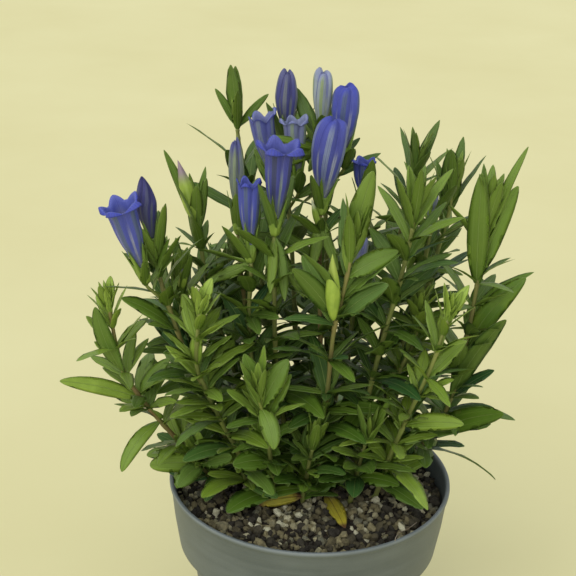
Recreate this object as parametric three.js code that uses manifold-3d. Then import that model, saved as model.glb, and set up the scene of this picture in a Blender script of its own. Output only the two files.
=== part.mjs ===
// A potted gentian: a round grower's pot with compost and grit, and a clump of leafy shoots with
// violet-blue trumpet flowers. Millimetres, +Z up, origin at the centre of the pot's underside.

import * as THREE from 'three';
import { mergeVertices } from 'three/addons/utils/BufferGeometryUtils.js';
import Module from 'manifold-3d';

const wasm = await Module();
wasm.setup();

// Pot
const POT_HEIGHT = 150;
const RIM_RADIUS = 95;
const FOOT_RADIUS = 67;
const COLLAR_HEIGHT = 48;
const COLLAR_FOOT_RADIUS = 88.4;
const LEDGE_RADIUS = 79.8;
const WALL = 1.7;
const RIM_WIDTH = 2.9;
const FLOOR = 2.4;
const DRAIN_HOLES = 8;
const DRAIN_RING_RADIUS = 48;
const DRAIN_RADIUS = 5;
const POT_SIDES = 40;

// Soil
const GAP = 0.35;
const GRIT_BOTTOM = 125;
const GRIT_EDGE = 136.5;
const GRIT_MOUND = 3.5;
const SOIL_SIDES = 20;
const STEM_FOOT = 141;

// Crown and roots
const CROWN_CENTRE = [-2, 14, 98];
const CROWN_HALF_SIZE = [46, 40, 14];
const CROWN_GATHER = 0.52;
const ROOTS = 6;
const ROOT_RADIUS = 2.6;

// Shoots
const STEM_RADIUS = 1.6;
const PEDICEL_RADIUS = 1.2;
const STEM_SIDES = 4;
const LEAF_THICKNESS = 1;
const LONG_LEAF = 56;
const LONG_ROWS = [0.25, 0.62];
const SHORT_ROWS = [0.42];
const LEAF_FOLD = 0.22;
const LEAF_GAP = 3.5;
const SAMPLE_STEP = 2.3;

// Flowers
const FULL_FLOWER = 52;
const COLUMNS = 10;
const BUD_COLUMNS = 8;
const CALYX_LENGTH = 20;
const CALYX_CUP = 11;
const CALYX_FLOOR = 4;
const CALYX_RADIUS = 4.4;
const CALYX_WALL = 0.8;
const TUBE_RADIUS = 2.9;
const PETAL_WALL = 0.9;
const SEAT_GAP = 0.6;
const BELLY_START = 0.36;
const BELLY_SHARE = 0.75;

// Each shoot: where its stem leaves the grit, the points that it passes, how many leaf pairs it has,
// the compass turn of its lowest pair in degrees, the length of its lowest and highest leaves, the
// widest leaf, and the leaves that were placed one by one: [share of the stem, tip, width, bend].
const SHOOTS = [
  { name: 'far_left', base: [-62, 14], path: [[-80, -8, 167], [-98, -21, 196], [-112, -27, 219],
    [-122, -30, 240], [-129, -32, 282]], pairs: 9, turn: 80, leaf: [34, 26], width: 9,
    placed: [[0.57, [-160, -40, 234], 10, 18], [0.59, [-93, -20, 243], 9, 20],
      [0.41, [-121, -45, 172], 9, 60], [0.76, [-136, -38, 284], 11, -24]] },
  { name: 'low_left', base: [-64, -5], path: [[-68, -12, 153], [-73, -24, 168]],
    pairs: 1, turn: 60, leaf: [30, 28], width: 13,
    placed: [[0.95, [-104, -36, 172], 12, 30], [0.95, [-50, -36, 182], 12, 26],
      [0.9, [-84, -46, 163], 11, 50], [0.35, [-97, -10, 157], 13, 24]] },
  { name: 'left_flower', base: [-46, 2], path: [[-57, -8, 180], [-71, -18, 222], [-84, -24, 255],
    [-94, -27, 288], [-98, -26, 302]], pairs: 12, turn: 20, leaf: [46, 34], width: 11, placed: [] },
  { name: 'left_young', base: [-40, -14], path: [[-47, -26, 178], [-58, -34, 206], [-67, -40, 231],
    [-73, -44, 252], [-71, -46, 288]], pairs: 11, turn: 50, leaf: [42, 24], width: 10, placed: [] },
  { name: 'left_bud', base: [-34, 16], path: [[-44, 14, 190], [-60, 13, 238], [-70, 16, 269],
    [-76, 19, 300], [-79, 20, 319]], pairs: 12, turn: 10, leaf: [46, 36], width: 9,
    placed: [[0.93, [-101, 22, 368], 6, 10], [0.93, [-73, 18, 352], 6, 8]] },
  { name: 'left_inner', base: [-50, 20], path: [[-62, 14, 190], [-77, 5, 226], [-86, -2, 255],
    [-87, -4, 286]], pairs: 11, turn: 70, leaf: [42, 30], width: 10, placed: [] },
  { name: 'back_tall', base: [-18, 42], path: [[-27, 44, 210], [-40, 52, 280], [-50, 58, 335],
    [-56, 60, 365], [-57, 60, 376]], pairs: 13, turn: 0, leaf: [44, 40], width: 9,
    placed: [[0.92, [-72, 60, 399], 5, 14], [0.92, [-37, 60, 397], 5, 14]] },
  { name: 'striped', base: [-24, 24], path: [[-32, 20, 190], [-42, 18, 235], [-49, 16, 280],
    [-52, 15, 312]], pairs: 11, turn: 40, leaf: [44, 30], width: 10, placed: [] },
  { name: 'small_blue', base: [-27, 3], path: [[-34, -4, 190], [-40, -9, 232], [-43, -10, 270],
    [-42, -10, 302]], pairs: 11, turn: 5, leaf: [42, 30], width: 10, placed: [] },
  { name: 'front_blue', base: [-13, 10], path: [[-19, 0, 190], [-25, -8, 240], [-27, -12, 285],
    [-28, -12, 322]], pairs: 12, turn: 30, leaf: [48, 34], width: 11, placed: [] },
  { name: 'back_trio', base: [-6, 32], path: [[-12, 38, 210], [-17, 46, 280], [-22, 52, 330],
    [-24, 54, 356]], pairs: 12, turn: 15, leaf: [44, 34], width: 10, placed: [] },
  { name: 'back_pair', base: [9, 44], path: [[8, 46, 210], [6, 47, 280], [2, 48, 335], [0, 47, 362]],
    pairs: 12, turn: 60, leaf: [44, 34], width: 10, placed: [] },
  { name: 'tall_blue', base: [7, 16], path: [[6, 11, 190], [4, 6, 235], [1, 4, 293], [0, 5, 331]],
    pairs: 12, turn: 20, leaf: [50, 38], width: 11, placed: [] },
  { name: 'front_main', base: [5, -3], path: [[7, -10, 168], [7, -22, 202], [9, -28, 225],
    [11, -38, 273], [16, -42, 304], [20, -44, 332]], pairs: 11, turn: 25, leaf: [46, 40], width: 12,
    placed: [[0.71, [-16, -54, 322], 12, 20], [0.71, [42, -52, 313], 12, 22],
      [0.9, [29, -46, 381], 14, 10], [0.88, [48, -36, 328], 12, 26]] },
  { name: 'right_inner', base: [20, 22], path: [[22, 22, 190], [23, 22, 240], [27, 26, 290],
    [28, 30, 326]], pairs: 11, turn: 55, leaf: [44, 32], width: 10, placed: [] },
  { name: 'right_back', base: [30, 38], path: [[36, 41, 190], [46, 49, 237], [52, 57, 290],
    [58, 60, 330], [61, 61, 348]], pairs: 13, turn: 10, leaf: [46, 32], width: 9, placed: [] },
  { name: 'right_mid', base: [30, 3], path: [[35, -6, 205], [42, -14, 254], [50, -18, 296],
    [55, -20, 327], [57, -20, 345]], pairs: 12, turn: 45, leaf: [46, 34], width: 10, placed: [] },
  { name: 'right_bud', base: [40, 22], path: [[48, 18, 190], [58, 23, 240], [68, 28, 290],
    [72, 28, 320]], pairs: 11, turn: 75, leaf: [44, 32], width: 9, placed: [] },
  { name: 'right_tall', base: [50, 36], path: [[58, 33, 200], [68, 35, 245], [76, 38, 290],
    [83, 40, 322], [85, 40, 340]], pairs: 12, turn: 20, leaf: [44, 34], width: 9,
    placed: [[0.86, [84, 38, 371], 13, 8]] },
  { name: 'far_right', base: [60, 12], path: [[76, -1, 180], [88, -6, 207], [95, -6, 242],
    [99, -5, 275], [101, -5, 306], [103, -5, 346]], pairs: 11, turn: 85, leaf: [46, 34], width: 9,
    placed: [[0.37, [119, -22, 281], 13, 22], [0.52, [130, -10, 304], 14, 30],
      [0.2, [121, -36, 222], 14, 22], [0.44, [92, -20, 262], 12, 16], [0.78, [97, -12, 372], 13, -14],
      [0.8, [120, -2, 362], 12, 14], [0.88, [125, -2, 386], 6, 16]] },
  { name: 'right_young', base: [45, -10], path: [[52, -26, 182], [58, -34, 207], [64, -38, 228],
    [72, -44, 256], [80, -46, 290]], pairs: 9, turn: 30, leaf: [44, 26], width: 10,
    placed: [[0.42, [95, -50, 221], 11, 24]] },
  { name: 'right_light', base: [41, 8], path: [[47, 4, 195], [56, 1, 230], [64, 0, 252],
    [66, 0, 274]], pairs: 9, turn: 0, leaf: [44, 26], width: 10, placed: [] },
  { name: 'front_cross', base: [-22, -20], path: [[-25, -32, 172], [-28, -44, 204], [-33, -54, 233]],
    pairs: 6, turn: 10, leaf: [42, 30], width: 13, placed: [[0.92, [-22, -68, 207], 11, 60],
      [0.92, [-43, -48, 262], 11, 14], [0.92, [-16, -46, 258], 13, 20]] },
  { name: 'front_short', base: [-4, -20], path: [[-2, -28, 165], [1, -36, 190]],
    pairs: 6, turn: 35, leaf: [38, 34], width: 14, placed: [[0.1, [-34, -31, 144], 9, 14]] },
  { name: 'front_right_short', base: [28, -17], path: [[31, -26, 168], [35, -34, 194]],
    pairs: 6, turn: 5, leaf: [40, 34], width: 13, placed: [] },
  { name: 'back_left_short', base: [-40, 38], path: [[-52, 44, 185], [-60, 52, 232], [-64, 56, 262]],
    pairs: 9, turn: 30, leaf: [44, 34], width: 12, placed: [] },
  { name: 'back_right_short', base: [16, 62], path: [[17, 72, 185], [20, 82, 228], [22, 86, 256]],
    pairs: 9, turn: 50, leaf: [44, 34], width: 12, placed: [] },
];

// Each flower: the shoot that bears it, the foot of its calyx, the middle of its mouth or its tip,
// its widest radius, how far the mouth spreads (0 for a rolled bud), and where a side flower's
// stalk leaves the stem, as a share of the stem.
const FLOWERS = [
  { name: 'left_open', shoot: 'left_flower', foot: [-105, -33, 300], tip: [-121, -41, 357],
    radius: 8.5, mouth: 13, branch: 0.64 },
  { name: 'left_dark', shoot: 'left_flower', foot: [-101, -24, 314], tip: [-109, -20, 364],
    radius: 7.2, mouth: 0, branch: null },
  { name: 'striped', shoot: 'striped', foot: [-52, 15, 316], tip: [-55, 15, 379],
    radius: 5.6, mouth: 0, branch: null },
  { name: 'small_blue', shoot: 'small_blue', foot: [-43, -9, 306], tip: [-45, -3, 361],
    radius: 7.2, mouth: 8.2, branch: null },
  { name: 'front_open', shoot: 'front_blue', foot: [-28, -12, 326], tip: [-26, -14, 390],
    radius: 8.6, mouth: 14.5, branch: null },
  { name: 'back_dark', shoot: 'back_trio', foot: [-24, 55, 360], tip: [-25, 56, 415],
    radius: 7.6, mouth: 0, branch: null },
  { name: 'back_open', shoot: 'back_trio', foot: [-31, 42, 340], tip: [-41, 40, 390],
    radius: 7.6, mouth: 10, branch: 0.56 },
  { name: 'back_pale', shoot: 'back_trio', foot: [-16, 44, 338], tip: [-19, 42, 389],
    radius: 7.6, mouth: 9.4, branch: 0.56 },
  { name: 'pale_striped', shoot: 'back_pair', foot: [-1, 46, 366], tip: [-2, 45, 418],
    radius: 6.8, mouth: 0, branch: null },
  { name: 'back_blue', shoot: 'back_pair', foot: [13, 36, 358], tip: [13, 37, 412],
    radius: 9.2, mouth: 0, branch: 0.62 },
  { name: 'tall_blue', shoot: 'tall_blue', foot: [0, 5, 335], tip: [6, 5, 399],
    radius: 11, mouth: 0, branch: null },
  { name: 'right_small', shoot: 'right_inner', foot: [28, 31, 330], tip: [27, 32, 366],
    radius: 6.4, mouth: 8, branch: null },
  { name: 'lavender', shoot: 'right_inner', foot: [22, 14, 281], tip: [26, 11, 321],
    radius: 7, mouth: 0, branch: 0.44 },
  { name: 'right_bud', shoot: 'right_bud', foot: [72, 28, 324], tip: [71, 28, 351],
    radius: 4.2, mouth: 0, branch: null },
];

// The plump green buds that a shoot carries: [shoot, share of the stem, tip, radius].
const GREEN_BUDS = [
  ['front_main', 0.7, [8, -49, 330], 4],
  ['left_bud', 1, [-92, 22, 362], 4.6],
];

// The withered leaf on the grit.
const WITHERED = { foot: [12, -11, 140.2], tip: [25, -49, 139], width: 12, bend: 10 };

// Colours
const GREY_PLASTIC = 0x59646a;
const DARK_COMPOST = 0x2e241c;
const GRIT = 0x8d7f69;
const WOODY = 0x8a6b45;
const LEAF_GREEN = 0x3f6b2e;
const YOUNG_GREEN = 0x7da53c;
const PETAL_BLUE = 0x4a4fb4;
const WITHERED_YELLOW = 0xc9ae2e;

const vector = (array) => new THREE.Vector3(...array);
const mix = (a, b, t) => a + (b - a) * t;
const radians = THREE.MathUtils.degToRad;

// A repeatable scatter between -1 and 1.
let scatterState = 20261;
function scatter() {
  scatterState = (scatterState * 16807) % 2147483647;
  return (scatterState / 2147483647) * 2 - 1;
}

function finish(color, roughness) {
  return new THREE.MeshStandardMaterial({ color, roughness, metalness: 0 });
}

// Closed geometry and solids
function closedGeometry(positions, triangles) {
  const geometry = new THREE.BufferGeometry();
  geometry.setAttribute('position', new THREE.Float32BufferAttribute(positions, 3));
  geometry.setIndex(triangles);
  return geometry;
}

function solidOf(geometry) {
  const bare = geometry.clone();
  bare.deleteAttribute('normal');
  bare.deleteAttribute('uv');
  const merged = mergeVertices(bare, 1e-4);
  const vertProperties = new Float32Array(merged.attributes.position.array);
  const triVerts = new Uint32Array(merged.index.array);
  return new wasm.Manifold(new wasm.Mesh({ numProp: 3, vertProperties, triVerts }));
}

function geometryOf(solid) {
  const mesh = solid.getMesh();
  return closedGeometry(Array.from(mesh.vertProperties), Array.from(mesh.triVerts));
}

function joined(solids) {
  return solids.reduce((whole, solid) => whole.add(solid));
}

// A solid turned about Z from a profile of [radius, height] points that starts and ends on the axis.
function turned(profile, sides) {
  const points = profile.map(([radius, height]) => new THREE.Vector2(radius, height));
  return new THREE.LatheGeometry(points, sides).rotateX(Math.PI / 2);
}

// A round bar along a curve.
function bar(curve, radius, sides, steps) {
  const section = new THREE.Shape();
  for (let k = 0; k < sides; k += 1) {
    const angle = (k / sides) * 2 * Math.PI;
    const x = radius * Math.cos(angle);
    const y = radius * Math.sin(angle);
    if (k === 0) section.moveTo(x, y);
    else section.lineTo(x, y);
  }
  section.closePath();
  return new THREE.ExtrudeGeometry(section, { steps, extrudePath: curve });
}

function curveThrough(points) {
  return new THREE.CatmullRomCurve3(points, false, 'catmullrom', 0.5);
}

// Rings of [radius, height] points, one for each column, closed by a pole at each end of the axis.
function ringed(columns, lowPole, rings, highPole) {
  const positions = [0, 0, lowPole];
  const triangles = [];
  for (const ring of rings) {
    for (let k = 0; k < columns; k += 1) {
      const angle = (k / columns) * 2 * Math.PI;
      const [radius, height] = ring(k);
      positions.push(radius * Math.cos(angle), radius * Math.sin(angle), height);
    }
  }
  positions.push(0, 0, highPole);
  const last = positions.length / 3 - 1;
  const at = (row, k) => 1 + row * columns + (k % columns);
  for (let k = 0; k < columns; k += 1) {
    triangles.push(0, at(0, k + 1), at(0, k));
    for (let row = 0; row + 1 < rings.length; row += 1) {
      triangles.push(at(row, k), at(row, k + 1), at(row + 1, k + 1));
      triangles.push(at(row, k), at(row + 1, k + 1), at(row + 1, k));
    }
    triangles.push(last, at(rings.length - 1, k), at(rings.length - 1, k + 1));
  }
  return closedGeometry(positions, triangles);
}

// The pot: its wall inside, for the soil to follow.
function wallInside(height) {
  const ledge = POT_HEIGHT - COLLAR_HEIGHT + WALL;
  if (height < ledge) {
    return mix(FOOT_RADIUS, LEDGE_RADIUS, height / (POT_HEIGHT - COLLAR_HEIGHT)) - WALL;
  }
  return mix(COLLAR_FOOT_RADIUS - WALL, RIM_RADIUS - RIM_WIDTH, (height - ledge) / (POT_HEIGHT - ledge));
}

function pot() {
  const ledge = POT_HEIGHT - COLLAR_HEIGHT;
  const shell = solidOf(turned([
    [0, 0], [FOOT_RADIUS - 2, 0], [FOOT_RADIUS, 2],
    [LEDGE_RADIUS, ledge], [COLLAR_FOOT_RADIUS - 1, ledge], [COLLAR_FOOT_RADIUS, ledge + 1],
    [RIM_RADIUS - 0.4, POT_HEIGHT - 1.2], [RIM_RADIUS - 0.6, POT_HEIGHT],
    [RIM_RADIUS - RIM_WIDTH, POT_HEIGHT], [COLLAR_FOOT_RADIUS - WALL, ledge + WALL + 0.1],
    [LEDGE_RADIUS - WALL, ledge + WALL], [wallInside(FLOOR), FLOOR], [0, FLOOR],
  ], POT_SIDES));
  const holes = [];
  for (let k = 0; k < DRAIN_HOLES; k += 1) {
    const angle = (k / DRAIN_HOLES) * 2 * Math.PI;
    const hole = new THREE.CylinderGeometry(DRAIN_RADIUS, DRAIN_RADIUS, FLOOR * 3, 10);
    hole.rotateX(Math.PI / 2);
    hole.translate(DRAIN_RING_RADIUS * Math.cos(angle), DRAIN_RING_RADIUS * Math.sin(angle), 0);
    holes.push(solidOf(hole));
  }
  return geometryOf(shell.subtract(joined(holes)));
}

// The crown: a flattened woody body, with fleshy roots that bend down and out.
function crownTop(x, y) {
  const [a, b, height] = CROWN_HALF_SIZE;
  const reach = ((x - CROWN_CENTRE[0]) / a) ** 2 + ((y - CROWN_CENTRE[1]) / b) ** 2;
  return CROWN_CENTRE[2] + height * Math.sqrt(1 - reach);
}

function crown(extra) {
  const body = new THREE.SphereGeometry(1, 16, 8);
  body.rotateX(Math.PI / 2);
  body.scale(...CROWN_HALF_SIZE.map((half) => half + extra));
  body.translate(...CROWN_CENTRE);
  const solids = [solidOf(body)];
  for (let k = 0; k < ROOTS; k += 1) {
    const angle = (k / ROOTS) * 2 * Math.PI + 0.2;
    const out = (reach, height) => new THREE.Vector3(
      CROWN_CENTRE[0] + reach * Math.cos(angle), CROWN_CENTRE[1] * 0.4 + reach * Math.sin(angle), height);
    const root = curveThrough([out(16, 96), out(36, 78), out(46, 52), out(48 - (k % 3) * 8, 22 - extra)]);
    solids.push(solidOf(bar(root, ROOT_RADIUS + extra, STEM_SIDES, 3)));
  }
  return joined(solids);
}

// The stem of a shoot: straight from the crown through the soil, then along its points.
function stemFoot(shoot) {
  return new THREE.Vector3(...shoot.base, STEM_FOOT);
}

function stemCurve(shoot) {
  const points = [stemFoot(shoot), ...shoot.path.map(vector)];
  const crowning = FLOWERS.find((flower) => flower.shoot === shoot.name && !flower.branch);
  if (crowning) points.push(flowerSeat(crowning, SEAT_GAP));
  return curveThrough(points);
}

function buriedStem(shoot, radius, more) {
  const top = stemFoot(shoot);
  const x = mix(CROWN_CENTRE[0], top.x, CROWN_GATHER);
  const y = mix(CROWN_CENTRE[1], top.y, CROWN_GATHER);
  const start = new THREE.Vector3(x, y, crownTop(x, y) + 2 * GAP);
  const along = top.clone().sub(start).normalize();
  start.addScaledVector(along, -more);
  top.addScaledVector(along, 1 + more);
  return solidOf(bar(new THREE.LineCurve3(start, top), radius, STEM_SIDES, 1));
}

function stemHoles() {
  return joined(SHOOTS.map((shoot) => buriedStem(shoot, STEM_RADIUS + GAP * 1.5, 2)));
}

// Soil: compost below, grit above, both cut clear of the stems.
function compost(holes) {
  const ledge = POT_HEIGHT - COLLAR_HEIGHT + WALL;
  const top = GRIT_BOTTOM - GAP;
  const body = solidOf(turned([
    [0, FLOOR + GAP], [wallInside(FLOOR) - GAP - 0.4, FLOOR + GAP],
    [LEDGE_RADIUS - WALL - GAP * 1.5, ledge + GAP], [COLLAR_FOOT_RADIUS - WALL - GAP, ledge + GAP * 2],
    [wallInside(top) - GAP, top], [0, top],
  ], SOIL_SIDES));
  return geometryOf(body.subtract(crown(GAP)).subtract(holes));
}

function grit(holes) {
  const mound = (share) => [
    (wallInside(GRIT_EDGE) - GAP) * share,
    GRIT_EDGE + GRIT_MOUND * (1 - share * share),
  ];
  const body = solidOf(turned([
    [0, GRIT_BOTTOM], [wallInside(GRIT_BOTTOM) - GAP, GRIT_BOTTOM],
    mound(1), mound(0.7), [0, GRIT_EDGE + GRIT_MOUND],
  ], SOIL_SIDES));
  return geometryOf(body.subtract(holes));
}

// A leaf runs along an arc that starts at `lift` above `out` and bends down by `droop`.
function leafPoint(leaf, share, across) {
  const angle = leaf.lift - leaf.droop * share;
  const ahead = (leaf.length * (Math.sin(leaf.lift) - Math.sin(angle))) / leaf.droop;
  const rise = (leaf.length * (Math.cos(angle) - Math.cos(leaf.lift))) / leaf.droop;
  const normal = leaf.out.clone().multiplyScalar(-Math.sin(angle)).addScaledVector(leaf.up, Math.cos(angle));
  return leaf.foot.clone()
    .addScaledVector(leaf.out, ahead)
    .addScaledVector(leaf.up, rise)
    .addScaledVector(leaf.side, across)
    .addScaledVector(normal, Math.abs(across) * LEAF_FOLD);
}

function leafNormal(leaf, share) {
  const angle = leaf.lift - leaf.droop * share;
  return leaf.out.clone().multiplyScalar(-Math.sin(angle)).addScaledVector(leaf.up, Math.cos(angle));
}

function leafHalfWidth(leaf, share) {
  return leaf.width * 0.5 * (1.62 * share ** 0.5 * (1 - share) ** 0.72 + 0.16 * (1 - share) ** 3);
}

function makeLeaf(foot, out, up, length, width, lift, droop) {
  const flatOut = out.clone().addScaledVector(up, -out.dot(up)).normalize();
  const side = new THREE.Vector3().crossVectors(up, flatOut);
  return { foot, out: flatOut, up, side, length, width, lift, droop };
}

// A leaf set by hand: its chord runs from its foot to its tip, and the arc bends by `bend` degrees.
function placedLeaf(foot, tip, width, bend) {
  const chord = vector(tip).sub(foot);
  const flat = Math.hypot(chord.x, chord.y);
  const droop = radians(bend);
  const length = (chord.length() * droop) / 2 / Math.sin(droop / 2);
  const lift = Math.atan2(chord.z, flat) + droop / 2;
  const out = new THREE.Vector3(chord.x / flat, chord.y / flat, 0);
  return makeLeaf(foot, out, new THREE.Vector3(0, 0, 1), length, width, lift, droop);
}

function witheredLeaf() {
  return placedLeaf(vector(WITHERED.foot), WITHERED.tip, WITHERED.width, WITHERED.bend);
}

// Points spread over a leaf, to measure how near it comes to its neighbours.
function leafSamples(leaf, from) {
  const samples = [];
  const rows = Math.ceil(leaf.length / SAMPLE_STEP);
  for (let row = 0; row <= rows; row += 1) {
    const share = row / rows;
    if (share * leaf.length < from) continue;
    const half = leafHalfWidth(leaf, share);
    const columns = Math.ceil(half / SAMPLE_STEP);
    for (let column = -columns; column <= columns; column += 1) {
      samples.push(leafPoint(leaf, share, columns ? (half * column) / columns : 0));
    }
  }
  return samples;
}

function curveSamples(curve) {
  return curve.getSpacedPoints(Math.ceil(curve.getLength() / SAMPLE_STEP));
}

function flowerSamples(flower) {
  const axis = flowerAxis(flower);
  const samples = [];
  const rows = Math.ceil(axis.length / SAMPLE_STEP);
  for (let row = 0; row <= rows; row += 1) {
    const share = row / rows;
    const radius = flowerRadius(flower, axis.length, share * axis.length);
    const count = Math.max(6, Math.ceil((2 * Math.PI * radius) / SAMPLE_STEP));
    for (let k = 0; k < count; k += 1) {
      const angle = (k / count) * 2 * Math.PI;
      const point = new THREE.Vector3(radius * Math.cos(angle), radius * Math.sin(angle), share * axis.length);
      samples.push(point.applyQuaternion(axis.turn).add(axis.foot));
    }
  }
  return samples;
}

// Growth: what is taken is kept in a grid of cells, so that each new leaf is compared with few points.
const taken = new Map();

function cellsAround(point) {
  const keys = [];
  const [cx, cy, cz] = [point.x, point.y, point.z].map((value) => Math.floor(value / LEAF_GAP));
  for (let x = cx - 1; x <= cx + 1; x += 1) {
    for (let y = cy - 1; y <= cy + 1; y += 1) {
      for (let z = cz - 1; z <= cz + 1; z += 1) keys.push(`${x},${y},${z}`);
    }
  }
  return keys;
}

function take(points, owner) {
  for (const point of points) {
    const key = [point.x, point.y, point.z].map((value) => Math.floor(value / LEAF_GAP)).join();
    if (!taken.has(key)) taken.set(key, []);
    taken.get(key).push({ point, owner });
  }
}

function isClear(points, owner) {
  return points.every((point) => clearOfPot(point) && cellsAround(point).every((key) => (
    (taken.get(key) ?? []).every((other) => (
      other.owner === owner || other.point.distanceTo(point) >= LEAF_GAP)))));
}

function clearOfPot(point) {
  const radius = Math.hypot(point.x, point.y);
  if (radius > RIM_RADIUS + 4) return point.z > 4;
  if (radius > RIM_RADIUS - 9) return point.z > POT_HEIGHT + 3;
  return point.z > GRIT_EDGE + GRIT_MOUND * (1 - (radius / RIM_RADIUS) ** 2) + 3.5;
}

// What a leaf tries in turn when its first place is taken: a turn and a lift in degrees, and a share
// of its length.
const TRIES = [
  [0, 0, 1], [14, 6, 1], [-14, 6, 1], [0, 20, 0.95], [28, 10, 0.9], [-28, 10, 0.9], [0, -16, 0.85],
  [40, 0, 0.8], [-40, 0, 0.8], [16, 34, 0.8], [-16, 34, 0.8], [22, -14, 0.66], [-22, -14, 0.66],
  [0, 44, 0.6], [0, 10, 0.5],
];

// The leaves that a shoot grows: opposite pairs, each pair turned a quarter from the one below.
function grownLeaves(shoot, curve, placed) {
  const leaves = [];
  const count = shoot.pairs;
  for (let pair = count - 1; pair >= 0; pair -= 1) {
    const height = count > 1 ? pair / (count - 1) : 1;
    const share = mix(0.06, 0.985, height ** 1.08);
    const foot = curve.getPoint(share);
    const stem = curve.getTangent(share);
    const up = stem.clone().lerp(new THREE.Vector3(0, 0, 1), 0.4).normalize();
    for (let half = 0; half < 2; half += 1) {
      const turn = shoot.turn + pair * 90 + half * 180 + scatter() * 12;
      const length = mix(...shoot.leaf, height) * (1.18 + scatter() * 0.12) * (height === 1 ? 0.8 : 1);
      const width = shoot.width * mix(1.42, 0.75, height) * (1 + scatter() * 0.1);
      const lift = mix(24, 64, height) + scatter() * 8;
      const droop = mix(52, 12, height) + scatter() * 9;
      const near = placed.some((leaf) => (
        Math.abs(leaf.foot.z - foot.z) < 9
        && leaf.out.dot(new THREE.Vector3(Math.cos(radians(turn)), Math.sin(radians(turn)), 0)) > 0.5));
      if (near) continue;
      for (const [turnMore, liftMore, keep] of TRIES) {
        const angle = radians(turn + turnMore);
        const out = new THREE.Vector3(Math.cos(angle), Math.sin(angle), 0);
        const leaf = makeLeaf(foot, out, up, length * keep, width * keep ** 0.4,
          radians(lift + liftMore), radians(droop));
        if (!isClear(leafSamples(leaf, 5), shoot.name)) continue;
        take(leafSamples(leaf, 0), shoot.name);
        leaves.push(leaf);
        break;
      }
    }
  }
  return leaves;
}

// The axis of a flower, from the foot of its calyx to its tip.
function flowerAxis(flower) {
  const foot = vector(flower.foot);
  const along = vector(flower.tip).sub(foot);
  const length = along.length();
  const turn = new THREE.Quaternion().setFromUnitVectors(new THREE.Vector3(0, 0, 1), along.normalize());
  return { foot, length, turn };
}

// A point on a flower's axis, a little below the foot of its calyx.
function flowerSeat(flower, below) {
  const { foot, turn } = flowerAxis(flower);
  return new THREE.Vector3(0, 0, -below).applyQuaternion(turn).add(foot);
}

// A flower's outer radius at a height above its foot.
function flowerRadius(flower, length, height) {
  if (height < CALYX_LENGTH) return CALYX_RADIUS + 1;
  const share = (height - CALYX_CUP) / (length - CALYX_CUP);
  if (flower.mouth && share > 0.8) return mix(flower.radius, flower.mouth, (share - 0.8) / 0.2);
  return flower.radius * (flower.mouth ? 1 : Math.min(1, 4 * (1 - share)));
}

function calyx(flower) {
  const { length } = flowerAxis(flower);
  const size = Math.min(1, length / FULL_FLOWER);
  const lobe = (k) => (k % 2 ? CALYX_CUP * size : CALYX_LENGTH * size);
  const belly = mix(CALYX_CUP * size, length, BELLY_START);
  const swell = (lobe(0) - CALYX_CUP * size) / (belly - CALYX_CUP * size);
  const tipRadius = mix(TUBE_RADIUS, flower.radius * BELLY_SHARE, swell) + CALYX_WALL + 2 * GAP;
  const spread = (k) => (k % 2 ? CALYX_RADIUS : Math.max(CALYX_RADIUS + 0.9, tipRadius));
  return ringed(COLUMNS, 0, [
    () => [1.7, 0.3],
    () => [CALYX_RADIUS, CALYX_CUP * 0.6 * size],
    (k) => [spread(k), lobe(k)],
    (k) => [spread(k) - CALYX_WALL, lobe(k)],
    () => [TUBE_RADIUS, (CALYX_FLOOR + 0.6) * size],
  ], CALYX_FLOOR * size);
}

function corolla(flower) {
  const { length } = flowerAxis(flower);
  const size = Math.min(1, length / FULL_FLOWER);
  const low = CALYX_FLOOR * size + 0.4;
  const cup = CALYX_CUP * size;
  const along = (share) => mix(cup, length, share);
  const tube = [
    () => [1.6, low + 0.5],
    () => [TUBE_RADIUS, cup],
    () => [flower.radius * BELLY_SHARE, along(BELLY_START)],
    () => [flower.radius, along(0.6)],
  ];
  if (!flower.mouth) {
    return ringed(BUD_COLUMNS, low, [...tube, () => [flower.radius * 0.72, along(0.84)]], length);
  }
  const rim = (k) => (k % 2 ? [flower.mouth * 0.84, along(0.9)] : [flower.mouth, length]);
  return ringed(COLUMNS, low, [...tube,
    rim,
    (k) => [rim(k)[0] - PETAL_WALL, rim(k)[1] + 0.1],
    () => [flower.radius - PETAL_WALL, along(0.6)],
    () => [flower.radius * BELLY_SHARE - PETAL_WALL, along(BELLY_START + 0.01)],
  ], cup + 2 * size);
}

// A leaf's solid: a folded blade with a keel under its midrib, pointed at both ends.
function leafSolid(leaf) {
  const rows = leaf.length > LONG_LEAF ? LONG_ROWS : SHORT_ROWS;
  const points = [leaf.foot];
  const triangles = [0, 1, 2, 0, 2, 3, 0, 3, 1];
  for (const share of rows) {
    const half = leafHalfWidth(leaf, share);
    const keel = leafPoint(leaf, share, 0).addScaledVector(leafNormal(leaf, share), -LEAF_THICKNESS);
    points.push(leafPoint(leaf, share, -half), leafPoint(leaf, share, half), keel);
  }
  points.push(leafPoint(leaf, 1, 0));
  const last = rows.length * 3 - 2;
  for (let row = 1; row < last; row += 3) {
    for (let k = 0; k < 3; k += 1) {
      const next = (k + 1) % 3;
      triangles.push(row + k, row + k + 3, row + next, row + next, row + k + 3, row + next + 3);
    }
  }
  for (let k = 0; k < 3; k += 1) triangles.push(last + k, last + 3, last + ((k + 1) % 3));
  const positions = points.flatMap((point) => point.toArray());
  return solidOf(closedGeometry(positions, triangles));
}

// A spindle from one point to another, for a closed green bud.
function budSolid(foot, tip, radius) {
  const along = vector(tip).sub(foot);
  const length = along.length();
  const body = turned([[0, -1], [radius * 0.5, length * 0.1], [radius, length * 0.42],
    [radius * 0.6, length * 0.8], [0, length]], 6);
  const turn = new THREE.Quaternion().setFromUnitVectors(new THREE.Vector3(0, 0, 1), along.normalize());
  body.applyQuaternion(turn);
  body.translate(foot.x, foot.y, foot.z);
  return solidOf(body);
}

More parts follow.
